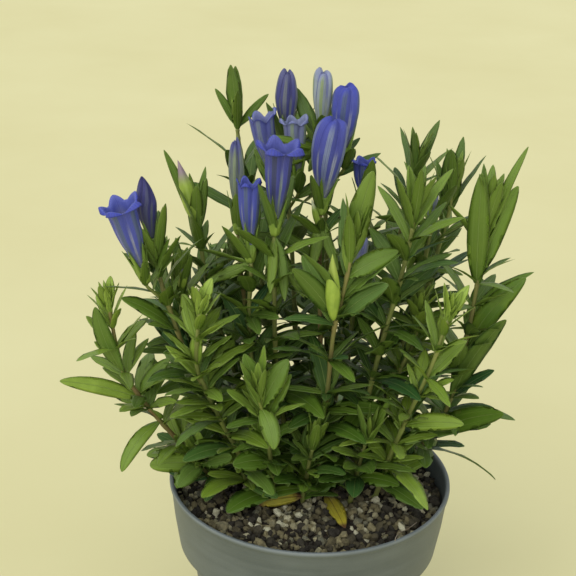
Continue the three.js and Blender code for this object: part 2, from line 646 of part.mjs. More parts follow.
// The stalk of a side flower, from the stem to just under the calyx.
function pedicelCurve(curve, flower) {
  return curveThrough([curve.getPoint(flower.branch), flowerSeat(flower, 4), flowerSeat(flower, SEAT_GAP)]);
}

function shootGeometry(shoot, curve, leaves) {
  const solids = [
    buriedStem(shoot, STEM_RADIUS, 0),
    solidOf(bar(curve, STEM_RADIUS, STEM_SIDES, shoot.path.length * 2)),
  ];
  for (const leaf of leaves) solids.push(leafSolid(leaf));
  for (const flower of FLOWERS) {
    if (flower.shoot === shoot.name && flower.branch) {
      solids.push(solidOf(bar(pedicelCurve(curve, flower), PEDICEL_RADIUS, STEM_SIDES, 4)));
    }
  }
  for (const [name, share, tip, radius] of GREEN_BUDS) {
    if (name === shoot.name) solids.push(budSolid(curve.getPoint(share), tip, radius));
  }
  return geometryOf(joined(solids));
}

// The plant grows: stems and flowers take their places first, then the leaves set by hand, then the
// rest of the leaves from the top of each shoot down.
function grow() {
  const grown = SHOOTS.map((shoot) => ({ shoot, curve: stemCurve(shoot) }));
  take(leafSamples(witheredLeaf(), 0), 'withered');
  for (const { shoot, curve } of grown) take(curveSamples(curve), shoot.name);
  for (const flower of FLOWERS) {
    take(flowerSamples(flower), flower.name + '_flower');
    if (flower.branch) {
      const { curve } = grown.find((one) => one.shoot.name === flower.shoot);
      take(curveSamples(pedicelCurve(curve, flower)), flower.shoot);
    }
  }
  for (const one of grown) {
    one.placed = one.shoot.placed.map(([share, ...rest]) => placedLeaf(one.curve.getPoint(share), ...rest));
    for (const leaf of one.placed) take(leafSamples(leaf, 0), one.shoot.name);
  }
  for (const one of grown) one.leaves = [...one.placed, ...grownLeaves(one.shoot, one.curve, one.placed)];
  return grown;
}

const plant = new THREE.Group();

function place(name, geometry, material) {
  const mesh = new THREE.Mesh(geometry, material);
  mesh.name = name;
  plant.add(mesh);
  return mesh;
}

const holes = stemHoles();
place('pot', pot(), finish(GREY_PLASTIC, 0.55));
place('compost', compost(holes), finish(DARK_COMPOST, 1));
place('grit_layer', grit(holes), finish(GRIT, 0.95));
place('crown_and_roots', geometryOf(crown(0)), finish(WOODY, 0.9));

for (const { shoot, curve, leaves } of grow()) {
  const green = shoot.leaf[1] < 28 ? YOUNG_GREEN : LEAF_GREEN;
  place('shoot_' + shoot.name, shootGeometry(shoot, curve, leaves), finish(green, 0.5));
}

for (const flower of FLOWERS) {
  const { foot, turn } = flowerAxis(flower);
  for (const [part, geometry, colour] of [
    ['calyx_', calyx(flower), YOUNG_GREEN], ['corolla_', corolla(flower), PETAL_BLUE]]) {
    const mesh = place(part + flower.name, geometry, finish(colour, 0.5));
    mesh.position.copy(foot);
    mesh.quaternion.copy(turn);
  }
}

place('withered_leaf', geometryOf(leafSolid(witheredLeaf())), finish(WITHERED_YELLOW, 0.7));

export default plant;
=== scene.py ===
import math
from functools import partialmethod
import bpy
import numpy as np
from mathutils import Matrix, Vector


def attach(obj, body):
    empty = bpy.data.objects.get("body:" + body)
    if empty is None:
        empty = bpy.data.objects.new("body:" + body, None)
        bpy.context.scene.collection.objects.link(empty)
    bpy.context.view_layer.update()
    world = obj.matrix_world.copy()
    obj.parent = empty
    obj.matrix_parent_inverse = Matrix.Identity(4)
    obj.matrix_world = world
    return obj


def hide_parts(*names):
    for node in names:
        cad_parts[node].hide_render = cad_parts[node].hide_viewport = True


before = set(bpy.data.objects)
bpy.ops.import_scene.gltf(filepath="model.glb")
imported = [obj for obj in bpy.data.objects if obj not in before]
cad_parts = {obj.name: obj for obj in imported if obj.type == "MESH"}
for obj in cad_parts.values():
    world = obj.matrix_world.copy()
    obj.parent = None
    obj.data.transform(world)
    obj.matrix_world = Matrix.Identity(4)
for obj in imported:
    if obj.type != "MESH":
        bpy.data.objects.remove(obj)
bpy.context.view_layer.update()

# Pot
# A round grower's pot of grey polypropylene, moulded in one piece: a floor with drainage holes, a
# tapered body and a deep plain collar. It is a profile turned about the pot's axis, in millimetres.
MM = 0.001
POT_HEIGHT = 150
RIM_RADIUS = 95
RIM_WIDTH = 2.9
FOOT_RADIUS = 67
COLLAR_HEIGHT = 48
COLLAR_FOOT_RADIUS = 88.4
LEDGE_RADIUS = 79.8
BODY_RADIUS = 75
BODY_HEIGHT = 64
POT_WALL = 1.7
POT_FLOOR = 2.4
DRAIN_HOLES = 8
DRAIN_RING_RADIUS = 48
DRAIN_RADIUS = 5
DRAIN_SIDES = 24
CRISP_ANGLE = 50
POT_SIDES = 144
PLASTIC_GREY = (0.088, 0.108, 0.112)
PLASTIC_PALE = (0.135, 0.158, 0.16)
# The pale grey painted along the top of the rim as a highlight.
PLASTIC_RIM_HIGHLIGHT = (0.22, 0.25, 0.26)


def add_piece(name, skin, finish, nodes=(), smooth=True):
    """One piece of the part. Its skin is points in millimetres, rows of corner numbers, where -1
    fills up a shorter face, and marks: numbers kept at each point, which the finish reads."""
    points, faces, marks = skin
    sizes = (faces >= 0).sum(axis=1)
    corners = faces[faces >= 0].astype(np.int32)
    mesh = bpy.data.meshes.new(name)
    mesh.vertices.add(len(points))
    mesh.vertices.foreach_set("co", (np.asarray(points, float) * MM).ravel())
    mesh.loops.add(len(corners))
    mesh.loops.foreach_set("vertex_index", corners)
    mesh.polygons.add(len(sizes))
    starts = np.concatenate([[0], np.cumsum(sizes)[:-1]]).astype(np.int32)
    mesh.polygons.foreach_set("loop_start", starts)
    mesh.update(calc_edges=True)
    mesh.polygons.foreach_set("use_smooth", np.full(len(sizes), smooth))
    for label, values in marks.items():
        layer = mesh.attributes.new(label, "FLOAT", "POINT")
        layer.data.foreach_set("value", np.asarray(values, float).ravel())
    mesh.validate()
    mesh.materials.append(finish)
    piece = bpy.data.objects.new(name, mesh)
    bpy.context.scene.collection.objects.link(piece)
    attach(piece, "root")
    if nodes:
        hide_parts(*nodes)
    return piece


def ring_faces(rows, columns, copies=1):
    """The faces of a closed skin: a foot point, rows of rings and an end point, which is how its
    points are numbered. Several such skins may follow each other in one piece."""
    k = np.arange(columns)
    after = (k + 1) % columns
    low = 1 + np.arange(rows - 1)[:, None] * columns
    sides = np.stack([low + k, low + after, low + columns + after, low + columns + k], axis=-1)
    last = 1 + (rows - 1) * columns
    none = np.full(columns, -1)
    foot = np.stack([np.zeros(columns, int), after + 1, k + 1, none], axis=-1)
    end = np.stack([np.full(columns, last + columns), last + k, last + after, none], axis=-1)
    faces = np.concatenate([sides.reshape(-1, 4), foot, end])
    moved = faces + (np.arange(copies) * (rows * columns + 2))[:, None, None]
    return np.where(faces < 0, -1, moved).reshape(-1, 4)


def around(radius, angle, height):
    """Points at a radius and an angle round Z, at a height."""
    places = np.broadcast_arrays(radius * np.cos(angle), radius * np.sin(angle), height)
    return np.stack(places, axis=-1)


def closed(rings, foot, end):
    """The points of rings between one point at the foot and one at the end."""
    return np.concatenate([[foot], rings.reshape(-1, *rings.shape[2:]), [end]])


def turned_skin(profile, columns):
    """A profile of [radius, height] rows turned about Z, with its two ends closed on the axis."""
    profile = np.asarray(profile, float)
    angle = np.arange(columns) / columns * 2 * np.pi
    rings = around(profile[:, :1], angle, profile[:, 1:])
    points = closed(rings, [0, 0, profile[0, 1]], [0, 0, profile[-1, 1]])
    return points, ring_faces(len(profile), columns), {}


class Wire:
    """A number or a colour inside a finish. Sums on wires give wires."""

    def __init__(self, tree, socket):
        self.tree = tree
        self.socket = socket

    def reckon(self, operation, *others):
        """Any sum that the program has a node for, with this number first."""
        numbers = dict(enumerate((self, *others)))
        return put(self.tree, "ShaderNodeMath", numbers, operation=operation)

    __add__ = partialmethod(reckon, "ADD")
    __sub__ = partialmethod(reckon, "SUBTRACT")
    __mul__ = partialmethod(reckon, "MULTIPLY")
    __truediv__ = partialmethod(reckon, "DIVIDE")
    __pow__ = partialmethod(reckon, "POWER")
    __abs__ = partialmethod(reckon, "ABSOLUTE")


def fill(tree, node, sockets):
    """A node's sockets, filled from a dictionary with plain values or wires."""
    for key, value in sockets.items():
        if isinstance(value, Wire):
            tree.links.new(value.socket, node.inputs[key])
        else:
            node.inputs[key].default_value = value


def new_node(tree, kind, sockets, **settings):
    """A node with its settings made and its sockets filled."""
    node = tree.nodes.new(kind)
    for key, value in settings.items():
        setattr(node, key, value)
    fill(tree, node, sockets)
    return node


def put(tree, kind, sockets, output=0, **settings):
    """The wire from one output of a new node."""
    return Wire(tree, new_node(tree, kind, sockets, **settings).outputs[output])


def position(tree):
    """Where each point lies on its piece, in metres."""
    return put(tree, "ShaderNodeTexCoord", {}, "Object")


def fade(value, start, end):
    """A mask that goes smoothly from 0 where the value is start to 1 where it is end."""
    sockets = {"Value": value, "From Min": start, "From Max": end}
    return put(value.tree, "ShaderNodeMapRange", sockets, interpolation_type="SMOOTHSTEP")


def shade(share, first, second):
    """Two colours mixed by a mask."""
    filled = {0: share, 6: first, 7: second}
    sockets = {k: (*v, 1) if isinstance(v, tuple) else v for k, v in filled.items()}
    return put(share.tree, "ShaderNodeMix", sockets, 2, data_type="RGBA")


def mark(tree, label):
    """The number that a mesh keeps at each point under a label."""
    return put(tree, "ShaderNodeAttribute", {}, "Fac", attribute_name=label)


def noise(where, scale, detail, roughness=0.5):
    """Cloudy unevenness about 0.5, at so many clouds per metre."""
    sockets = {"Vector": where, "Scale": scale, "Detail": detail, "Roughness": roughness}
    return put(where.tree, "ShaderNodeTexNoise", sockets)


def gives(group, **wires):
    """The outputs of a shared group, by name."""
    for label in wires:
        group.interface.new_socket(label, in_out="OUTPUT", socket_type="NodeSocketFloat")
    fill(group, group.nodes.new("NodeGroupOutput"), wires)
    return group


def from_group(tree, group, *values):
    """All that a shared group gives, with its inputs filled with values."""
    node = new_node(tree, "ShaderNodeGroup", {}, node_tree=group)
    fill(tree, node, dict(enumerate(values)))
    return [Wire(tree, socket) for socket in node.outputs]


def make_mottle():
    """A shared group: a broad and a fine unevenness, both from 0 to 1, at given scales per metre."""
    group = bpy.data.node_groups.new("mottle", "ShaderNodeTree")
    for label in ("Broad scale", "Fine scale"):
        group.interface.new_socket(label, in_out="INPUT", socket_type="NodeSocketFloat")
    scales = [Wire(group, socket) for socket in group.nodes.new("NodeGroupInput").outputs]
    spread = []
    for scale, detail in zip(scales, (4, 3)):
        grain = noise(position(group), scale, detail, 0.55)
        spread.append(put(group, "ShaderNodeMapRange", {"Value": grain, "From Min": 0.28, "From Max": 0.72}))
    return gives(group, Broad=spread[0], Fine=spread[1])


MOTTLE = make_mottle()


def new_finish(name, roughness, broad_scale, fine_scale):
    """A new material, its tree of nodes, and its broad and fine unevenness."""
    material = bpy.data.materials.new(name)
    material.use_nodes = True
    tree = material.node_tree
    tree.nodes["Principled BSDF"].inputs["Roughness"].default_value = roughness
    return material, tree, *from_group(tree, MOTTLE, broad_scale, fine_scale)


def cover(material, colour, height, depth, **more):
    """The colour of a material, its bump of a depth in millimetres and what else its shader takes."""
    tree = material.node_tree
    bump = put(tree, "ShaderNodeBump", {"Height": height, "Distance": depth * MM, "Strength": 1})
    fill(tree, tree.nodes["Principled BSDF"], {"Base Color": colour, "Normal": bump, **more})
    return material


def pot_profile():
    """The outside from the foot up, over the rim and down the inside to the floor. Each list of
    [radius, height] rows is counted from a corner of the wall, or from the middle of the foot."""
    ledge = POT_HEIGHT - COLLAR_HEIGHT
    corners = [
        ((FOOT_RADIUS, 0), [(-3, 0), (-1, 0.3), (0, 2)]),
        ((0, 0), [(70.5, 28), (BODY_RADIUS, BODY_HEIGHT)]),
        ((LEDGE_RADIUS, ledge), [(-0.9, -5), (-0.3, -2.2), (0.6, -0.8), (2, -0.2)]),
        ((COLLAR_FOOT_RADIUS, ledge), [(-2.4, 0), (-1, 0.3), (-0.2, 1.2), (0.1, 3)]),
        ((0, 0), [(91.6, 125)]),
        ((RIM_RADIUS, POT_HEIGHT), [(-1.2, -4.4), (-0.8, -3.4), (-0.15, -2.8), (0, -1.8), (-0.1, -0.7),
                                    (-0.4, -0.1), (-0.9, 0), (0.7 - RIM_WIDTH, -0.2), (-RIM_WIDTH, -0.9)]),
        ((0, 0), [(91.4, 145), (88.8, 122)]),
        ((COLLAR_FOOT_RADIUS - POT_WALL, ledge + POT_WALL), [(0, 2), (-1.4, 0)]),
        ((LEDGE_RADIUS - POT_WALL, ledge), [(0, 1)]),
        ((BODY_RADIUS - POT_WALL, BODY_HEIGHT), [(0, 0)]),
        ((FOOT_RADIUS - POT_WALL, POT_FLOOR), [(0.4, 2), (-1.6, 0)]),
    ]
    return np.concatenate([np.add(corner, rows) for corner, rows in corners])


def drain_bars():
    """Round bars that stand in the floor where the drainage holes are cut."""
    turns = np.arange(DRAIN_HOLES) / DRAIN_HOLES * 2 * np.pi
    middles = around(DRAIN_RING_RADIUS, turns, 0)
    one = turned_skin([(DRAIN_RADIUS, -3), (DRAIN_RADIUS, 3 + POT_FLOOR)], DRAIN_SIDES)[0]
    mesh = bpy.data.meshes.new("drain_bars")
    faces = ring_faces(2, DRAIN_SIDES, DRAIN_HOLES)
    rows = [[corner for corner in face if corner >= 0] for face in faces.tolist()]
    mesh.from_pydata(((middles[:, None] + one) * MM).reshape(-1, 3), [], rows)
    bars = bpy.data.objects.new("drain_bars", mesh)
    bpy.context.scene.collection.objects.link(bars)
    return bars


def cut_drains(piece):
    """The holes are cut out of the floor by the bars, and the turned edges made crisp."""
    bars = drain_bars()
    cut = piece.modifiers.new("drains", "BOOLEAN")
    cut.operation = "DIFFERENCE"
    cut.object = bars
    cut.solver = "EXACT"
    bpy.context.view_layer.update()
    seen = piece.evaluated_get(bpy.context.evaluated_depsgraph_get())
    shaped = bpy.data.meshes.new_from_object(seen)
    shaped.set_sharp_from_angle(angle=math.radians(CRISP_ANGLE))
    piece.modifiers.remove(cut)
    piece.data = shaped
    bpy.data.objects.remove(bars)


def pot_plastic():
    """Matt grey plastic with a fine moulded grain, long faint streaks round it and a painted highlight in
    patches along the top of the rim.
    """
    material, tree, broad, fine = new_finish("grey_plastic", 0.5, 22, 1500)
    drawn = put(tree, "ShaderNodeMapping", {"Vector": position(tree), "Scale": (9, 9, 130)})
    streaks = noise(drawn, 1.4, 6)
    height = put(tree, "ShaderNodeSeparateXYZ", {"Vector": position(tree)}, 2)
    edge = fade(height, (POT_HEIGHT - 2.2) * MM, (POT_HEIGHT - 0.6) * MM)
    patches = streaks * 0.9 + broad * 0.35
    grey = shade(fade(patches, 0.35, 0.95), PLASTIC_GREY, PLASTIC_PALE)
    # Painted highlight: the top of the rim is paled in patches.
    highlighted_rim = shade(edge * (broad * 0.5 + 0.3), grey, PLASTIC_RIM_HIGHLIGHT)
    return cover(material, highlighted_rim, streaks * 0.6 + fine, 0.12, Roughness=patches * 0.22 + 0.32)


pot_skin = turned_skin(pot_profile(), POT_SIDES)
cut_drains(add_piece("pot_shell", pot_skin, pot_plastic(), ["pot"]))

# Compost and crown
# The pot is filled with dark, crumbly peat-like compost. The woody crown and its fleshy roots sit in
# it, out of sight. Both keep their CAD solids, which the compost fills face to face.
COMPOST_DARK = (0.012, 0.008, 0.005)
COMPOST_BROWN = (0.05, 0.033, 0.02)
CROWN_BARK = (0.16, 0.095, 0.045)
CROWN_PALE = (0.34, 0.24, 0.12)


def damp_compost():
    """Dark crumbs: two scales of unevenness, near black in the pits and brown on the tops."""
    material, _, broad, fine = new_finish("damp_compost", 0.9, 90, 520)
    crumb = fine * 0.7 + broad * 0.4
    return cover(material, shade(fade(crumb, 0.3, 0.95), COMPOST_DARK, COMPOST_BROWN), crumb, 1.2)


def crown_wood():
    """Bark in rings round the roots: a warped wave, brown with pale cracks."""
    material, tree, broad, fine = new_finish("crown_wood", 0.8, 60, 300)
    sockets = {"Vector": position(tree), "Scale": 45, "Distortion": 6, "Detail": 3}
    rings = put(tree, "ShaderNodeTexWave", sockets, "Fac", bands_direction="Z")
    return cover(material, shade(rings * 0.5 + broad * 0.5, CROWN_BARK, CROWN_PALE), rings + fine, 0.5)


COMPOST = damp_compost()
for node_name, finish in (("compost", COMPOST), ("crown_and_roots", crown_wood())):
    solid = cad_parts[node_name].data
    solid.materials.clear()
    solid.materials.append(finish)

# Shoots
# Soft leafy stems that rise from the crown. Each carries opposite pairs of stalkless leaves, each
# pair turned a quarter from the one below. Where they stand is the CAD's own rule of growth.
STEM_FOOT = 141
CROWN_CENTRE = (-2, 14, 98)
CROWN_GATHER = 0.52
LEAF_FOLD = 0.22
LEAF_GAP = 3.5
SAMPLE_STEP = 2.3
LOWEST_PAIR = 0.06
HIGHEST_PAIR = 0.985
PAIR_CROWDING = 1.08
# For the lowest and the highest leaves: lift, bend, and share of the width that the table gives.
LIFTS = (24, 64)
BENDS = (52, 12)
WIDENED = (1.42, 0.75)
# Shares of the length that the table gives, and again for the pair at the tip.
LENGTHENED = 1.18
TOP_PAIR_LENGTH = 0.8
FIRST_SCATTER = 20261
SEAT_GAP = 0.6
GRIT_EDGE = 136.5
GRIT_MOUND = 3.5
CALYX_LENGTH = 20
CALYX_CUP = 11
CALYX_RADIUS = 4.4

# name: foot on the grit, points passed, leaf pairs, turn of the lowest pair, lengths of the lowest and
# highest leaves, widest leaf, and the leaves given one by one as [share of the stem, tip, width, bend].
SHOOTS = {
    "far_left": ([-62, 14], [[-80, -8, 167], [-98, -21, 196], [-112, -27, 219], [-122, -30, 240],
                             [-129, -32, 282]], 9, 80, [34, 26], 9,
                 [[0.57, [-160, -40, 234], 10, 18], [0.59, [-93, -20, 243], 9, 20],
                  [0.41, [-121, -45, 172], 9, 60], [0.76, [-136, -38, 284], 11, -24]]),
    "low_left": ([-64, -5], [[-68, -12, 153], [-73, -24, 168]], 1, 60, [30, 28], 13,
                 [[0.95, [-104, -36, 172], 12, 30], [0.95, [-50, -36, 182], 12, 26],
                  [0.9, [-84, -46, 163], 11, 50], [0.35, [-97, -10, 157], 13, 24]]),
    "left_flower": ([-46, 2], [[-57, -8, 180], [-71, -18, 222], [-84, -24, 255], [-94, -27, 288],
                               [-98, -26, 302]], 12, 20, [46, 34], 11, []),
    "left_young": ([-40, -14], [[-47, -26, 178], [-58, -34, 206], [-67, -40, 231], [-73, -44, 252],
                                [-71, -46, 288]], 11, 50, [42, 24], 10, []),
    "left_bud": ([-34, 16], [[-44, 14, 190], [-60, 13, 238], [-70, 16, 269], [-76, 19, 300],
                             [-79, 20, 319]], 12, 10, [46, 36], 9,
                 [[0.93, [-101, 22, 368], 6, 10], [0.93, [-73, 18, 352], 6, 8]]),
    "left_inner": ([-50, 20], [[-62, 14, 190], [-77, 5, 226], [-86, -2, 255], [-87, -4, 286]],
                   11, 70, [42, 30], 10, []),
    "back_tall": ([-18, 42], [[-27, 44, 210], [-40, 52, 280], [-50, 58, 335], [-56, 60, 365],
                              [-57, 60, 376]], 13, 0, [44, 40], 9,
                  [[0.92, [-72, 60, 399], 5, 14], [0.92, [-37, 60, 397], 5, 14]]),
    "striped": ([-24, 24], [[-32, 20, 190], [-42, 18, 235], [-49, 16, 280], [-52, 15, 312]],
                11, 40, [44, 30], 10, []),
    "small_blue": ([-27, 3], [[-34, -4, 190], [-40, -9, 232], [-43, -10, 270], [-42, -10, 302]],
                   11, 5, [42, 30], 10, []),
    "front_blue": ([-13, 10], [[-19, 0, 190], [-25, -8, 240], [-27, -12, 285], [-28, -12, 322]],
                   12, 30, [48, 34], 11, []),
    "back_trio": ([-6, 32], [[-12, 38, 210], [-17, 46, 280], [-22, 52, 330], [-24, 54, 356]],
                  12, 15, [44, 34], 10, []),
    "back_pair": ([9, 44], [[8, 46, 210], [6, 47, 280], [2, 48, 335], [0, 47, 362]],
                  12, 60, [44, 34], 10, []),
    "tall_blue": ([7, 16], [[6, 11, 190], [4, 6, 235], [1, 4, 293], [0, 5, 331]],
                  12, 20, [50, 38], 11, []),
    "front_main": ([5, -3], [[7, -10, 168], [7, -22, 202], [9, -28, 225], [11, -38, 273],
                             [16, -42, 304], [20, -44, 332]], 11, 25, [46, 40], 12,
                   [[0.71, [-16, -54, 322], 12, 20], [0.71, [42, -52, 313], 12, 22],
                    [0.9, [29, -46, 381], 14, 10], [0.88, [48, -36, 328], 12, 26]]),
    "right_inner": ([20, 22], [[22, 22, 190], [23, 22, 240], [27, 26, 290], [28, 30, 326]],
                    11, 55, [44, 32], 10, []),
    "right_back": ([30, 38], [[36, 41, 190], [46, 49, 237], [52, 57, 290], [58, 60, 330],
                              [61, 61, 348]], 13, 10, [46, 32], 9, []),
    "right_mid": ([30, 3], [[35, -6, 205], [42, -14, 254], [50, -18, 296], [55, -20, 327],
                            [57, -20, 345]], 12, 45, [46, 34], 10, []),
    "right_bud": ([40, 22], [[48, 18, 190], [58, 23, 240], [68, 28, 290], [72, 28, 320]],
                  11, 75, [44, 32], 9, []),
    "right_tall": ([50, 36], [[58, 33, 200], [68, 35, 245], [76, 38, 290], [83, 40, 322],
                              [85, 40, 340]], 12, 20, [44, 34], 9, [[0.86, [84, 38, 371], 13, 8]]),
    "far_right": ([60, 12], [[76, -1, 180], [88, -6, 207], [95, -6, 242], [99, -5, 275],
                             [101, -5, 306], [103, -5, 346]], 11, 85, [46, 34], 9,
                  [[0.37, [119, -22, 281], 13, 22], [0.52, [130, -10, 304], 14, 30],
                   [0.2, [121, -36, 222], 14, 22], [0.44, [92, -20, 262], 12, 16],
                   [0.78, [97, -12, 372], 13, -14], [0.8, [120, -2, 362], 12, 14],
                   [0.88, [125, -2, 386], 6, 16]]),
    "right_young": ([45, -10], [[52, -26, 182], [58, -34, 207], [64, -38, 228], [72, -44, 256],
                                [80, -46, 290]], 9, 30, [44, 26], 10, [[0.42, [95, -50, 221], 11, 24]]),
    "right_light": ([41, 8], [[47, 4, 195], [56, 1, 230], [64, 0, 252], [66, 0, 274]],
                    9, 0, [44, 26], 10, []),
    "front_cross": ([-22, -20], [[-25, -32, 172], [-28, -44, 204], [-33, -54, 233]],
                    6, 10, [42, 30], 13,
                    [[0.92, [-22, -68, 207], 11, 60], [0.92, [-43, -48, 262], 11, 14],
                     [0.92, [-16, -46, 258], 13, 20]]),
    "front_short": ([-4, -20], [[-2, -28, 165], [1, -36, 190]],
                    6, 35, [38, 34], 14, [[0.1, [-34, -31, 144], 9, 14]]),
    "front_right_short": ([28, -17], [[31, -26, 168], [35, -34, 194]], 6, 5, [40, 34], 13, []),
    "back_left_short": ([-40, 38], [[-52, 44, 185], [-60, 52, 232], [-64, 56, 262]],
                        9, 30, [44, 34], 12, []),
    "back_right_short": ([16, 62], [[17, 72, 185], [20, 82, 228], [22, 86, 256]],
                         9, 50, [44, 34], 12, []),
}

# name: shoot that bears it, foot of the calyx, tip, widest radius, spread of the mouth (0 when it is
# rolled shut), and the share of the stem where a side flower's stalk leaves it.
FLOWERS = {
    "left_open": ("left_flower", [-105, -33, 300], [-121, -41, 357], 8.5, 13, 0.64),
    "left_dark": ("left_flower", [-101, -24, 314], [-109, -20, 364], 7.2, 0, None),
    "striped": ("striped", [-52, 15, 316], [-55, 15, 379], 5.6, 0, None),
    "small_blue": ("small_blue", [-43, -9, 306], [-45, -3, 361], 7.2, 8.2, None),
    "front_open": ("front_blue", [-28, -12, 326], [-26, -14, 390], 8.6, 14.5, None),
    "back_dark": ("back_trio", [-24, 55, 360], [-25, 56, 415], 7.6, 0, None),
    "back_open": ("back_trio", [-31, 42, 340], [-41, 40, 390], 7.6, 10, 0.56),
    "back_pale": ("back_trio", [-16, 44, 338], [-19, 42, 389], 7.6, 9.4, 0.56),
    "pale_striped": ("back_pair", [-1, 46, 366], [-2, 45, 418], 6.8, 0, None),
    "back_blue": ("back_pair", [13, 36, 358], [13, 37, 412], 9.2, 0, 0.62),
    "tall_blue": ("tall_blue", [0, 5, 335], [6, 5, 399], 11, 0, None),
    "right_small": ("right_inner", [28, 31, 330], [27, 32, 366], 6.4, 8, None),
    "lavender": ("right_inner", [22, 14, 281], [26, 11, 321], 7, 0, 0.44),
    "right_bud": ("right_bud", [72, 28, 324], [71, 28, 351], 4.2, 0, None),
}
# The fallen leaf: foot, tip, width and bend.
WITHERED = ([12, -11, 140.2], [25, -49, 139], 12, 10)
UPWARD = np.array([0.0, 0, 1])
MOST_POINTS = 400000


def through(points, share):
    """A smooth curve through points, at shares from 0 to 1: on each span a cubic whose slope at each
    end is half the step between that point's neighbours."""
    points = np.asarray(points, float)
    run = np.concatenate([[2 * points[0] - points[1]], points, [2 * points[-1] - points[-2]]])
    place = np.asarray(share, float) * (len(points) - 1)
    span = np.minimum(place.astype(int), len(points) - 2)
    t = (place - span)[(...,) + (None,) * (points.ndim - 1)]
    before, start, end, after = run[span], run[span + 1], run[span + 2], run[span + 3]
    leave, arrive = (end - before) / 2, (after - start) / 2
    return (start + leave * t + (3 * (end - start) - 2 * leave - arrive) * t ** 2
            + (2 * (start - end) + leave + arrive) * t ** 3)


def unit(vector):
    """Vectors divided by their lengths."""
    return vector / np.linalg.norm(vector, axis=-1, keepdims=True)


def heading(points, share, step=0.0001):
    """The way that the curve runs at a share: from just before it to just after it."""
    return unit(through(points, min(1, share + step)) - through(points, max(0, share - step)))


def even_points(points):
    """Points spread evenly along the curve, about a sample step apart."""
    share = np.linspace(0, 1, 201)
    pieces = np.linalg.norm(np.diff(through(points, share), axis=0), axis=1)
    walked = np.concatenate([[0], np.cumsum(pieces)])
    count = math.ceil(walked[-1] / SAMPLE_STEP)
    return through(points, np.interp(np.linspace(0, 1, count + 1) * walked[-1], walked, share))


def flower_axis(flower):
    """Foot, length and the turn that brings +Z onto the way from the foot to the tip."""
    foot = np.array(FLOWERS[flower][1], float)
    way = np.array(FLOWERS[flower][2], float) - foot
    turn = Vector((0, 0, 1)).rotation_difference(Vector(way))
    return foot, float(np.linalg.norm(way)), np.array(turn.to_matrix())


def flower_seat(flower, below):
    """The point on a flower's axis that lies so far below its foot."""
    foot, _, turn = flower_axis(flower)
    return foot + turn @ np.array([0, 0, -below])


def stem_points(shoot):
    """The points that a stem passes, up to the seat of the flower that crowns it."""
    points = [[*SHOOTS[shoot][0], STEM_FOOT], *SHOOTS[shoot][1]]
    crowning = [name for name, data in FLOWERS.items() if data[0] == shoot and data[5] is None]
    return np.array(points + [flower_seat(name, SEAT_GAP) for name in crowning], float)


def stalk_points(flower):
    """The stalk of a side flower, from the stem to just under its calyx."""
    shoot, *_, branch = FLOWERS[flower]
    start = through(stem_points(shoot), branch)
    return np.array([start, flower_seat(flower, 4), flower_seat(flower, SEAT_GAP)])


def new_leaf(foot, out, up, length, width, lift, droop, **more):
    """A leaf's frame: it leaves its foot along out, raised by lift, and bends down by droop."""
    out = unit(out - up * (out @ up))
    return dict(foot=foot, out=out, up=up, side=np.cross(up, out), length=length, width=width,
                lift=lift, droop=droop, **more)


def placed_leaf(foot, tip, width, bend):
    """A listed leaf: its chord runs from its foot to its tip and its arc bends by bend."""
    chord = np.asarray(tip, float) - foot
    flat = math.hypot(chord[0], chord[1])
    droop = math.radians(bend)
    length = np.linalg.norm(chord) * droop / 2 / math.sin(droop / 2)
    out = np.array([chord[0] / flat, chord[1] / flat, 0])
    return new_leaf(foot, out, UPWARD, length, width, math.atan2(chord[2], flat) + droop / 2, droop)


def leaf_surface(leaf, share, across):
    """The arc of the midrib plus the offset across it, folded up by LEAF_FOLD on both sides."""
    angle = leaf["lift"] - leaf["droop"] * share
    reach = leaf["length"] / leaf["droop"]
    ahead = (reach * (np.sin(leaf["lift"]) - np.sin(angle)))[..., None]
    rise = (reach * (np.cos(angle) - np.cos(leaf["lift"])))[..., None]
    normal = np.cos(angle)[..., None] * leaf["up"] - np.sin(angle)[..., None] * leaf["out"]
    across = np.asarray(across)[..., None]
    return (leaf["foot"] + ahead * leaf["out"] + rise * leaf["up"] + across * leaf["side"]
            + np.abs(across) * LEAF_FOLD * normal)


def leaf_samples(leaf, start):
    """Points spread over a leaf, from a distance along it. Its half width rises with the root of the
    share, falls again to the tip, and has a narrow clasping foot added."""
    rows = math.ceil(leaf["length"] / SAMPLE_STEP)
    share = np.arange(rows + 1) / rows
    share = share[share * leaf["length"] >= start]
    half = leaf["width"] * 0.5 * (1.62 * share ** 0.5 * (1 - share) ** 0.72 + 0.16 * (1 - share) ** 3)
    columns = np.ceil(half / SAMPLE_STEP)
    step = np.arange(-columns.max(), columns.max() + 1)
    used = np.abs(step) <= columns[:, None]
    across = half[:, None] * step / np.maximum(columns, 1)[:, None]
    return leaf_surface(leaf, share[:, None] + 0 * across, across)[used]


def flower_samples(flower):
    """Points round a flower, ring by ring: a tube that flares to its mouth over the last fifth, or,
    when it is shut, narrows over the last quarter. Low down it is as wide as its calyx."""
    _, _, _, radius, mouth, _ = FLOWERS[flower]
    foot, length, turn = flower_axis(flower)
    share = np.arange(math.ceil(length / SAMPLE_STEP) + 1) / math.ceil(length / SAMPLE_STEP)
    height = share * length
    up = (height - CALYX_CUP) / (length - CALYX_CUP)
    body = radius * (np.ones_like(up) if mouth else np.minimum(1, 4 * (1 - up)))
    flared = (mouth > 0) & (up > 0.8)
    outline = np.where(flared, radius + (mouth - radius) * (up - 0.8) / 0.2, body)
    outline = np.where(height < CALYX_LENGTH, CALYX_RADIUS + 1, outline)
    counts = np.maximum(6, np.ceil(2 * np.pi * outline / SAMPLE_STEP)).astype(int)
    ring = np.repeat(np.arange(len(share)), counts)
    first = np.repeat(np.cumsum(counts) - counts, counts)
    angle = (np.arange(len(ring)) - first) / counts[ring] * 2 * np.pi
    return around(outline[ring], angle, height[ring]) @ turn.T + foot


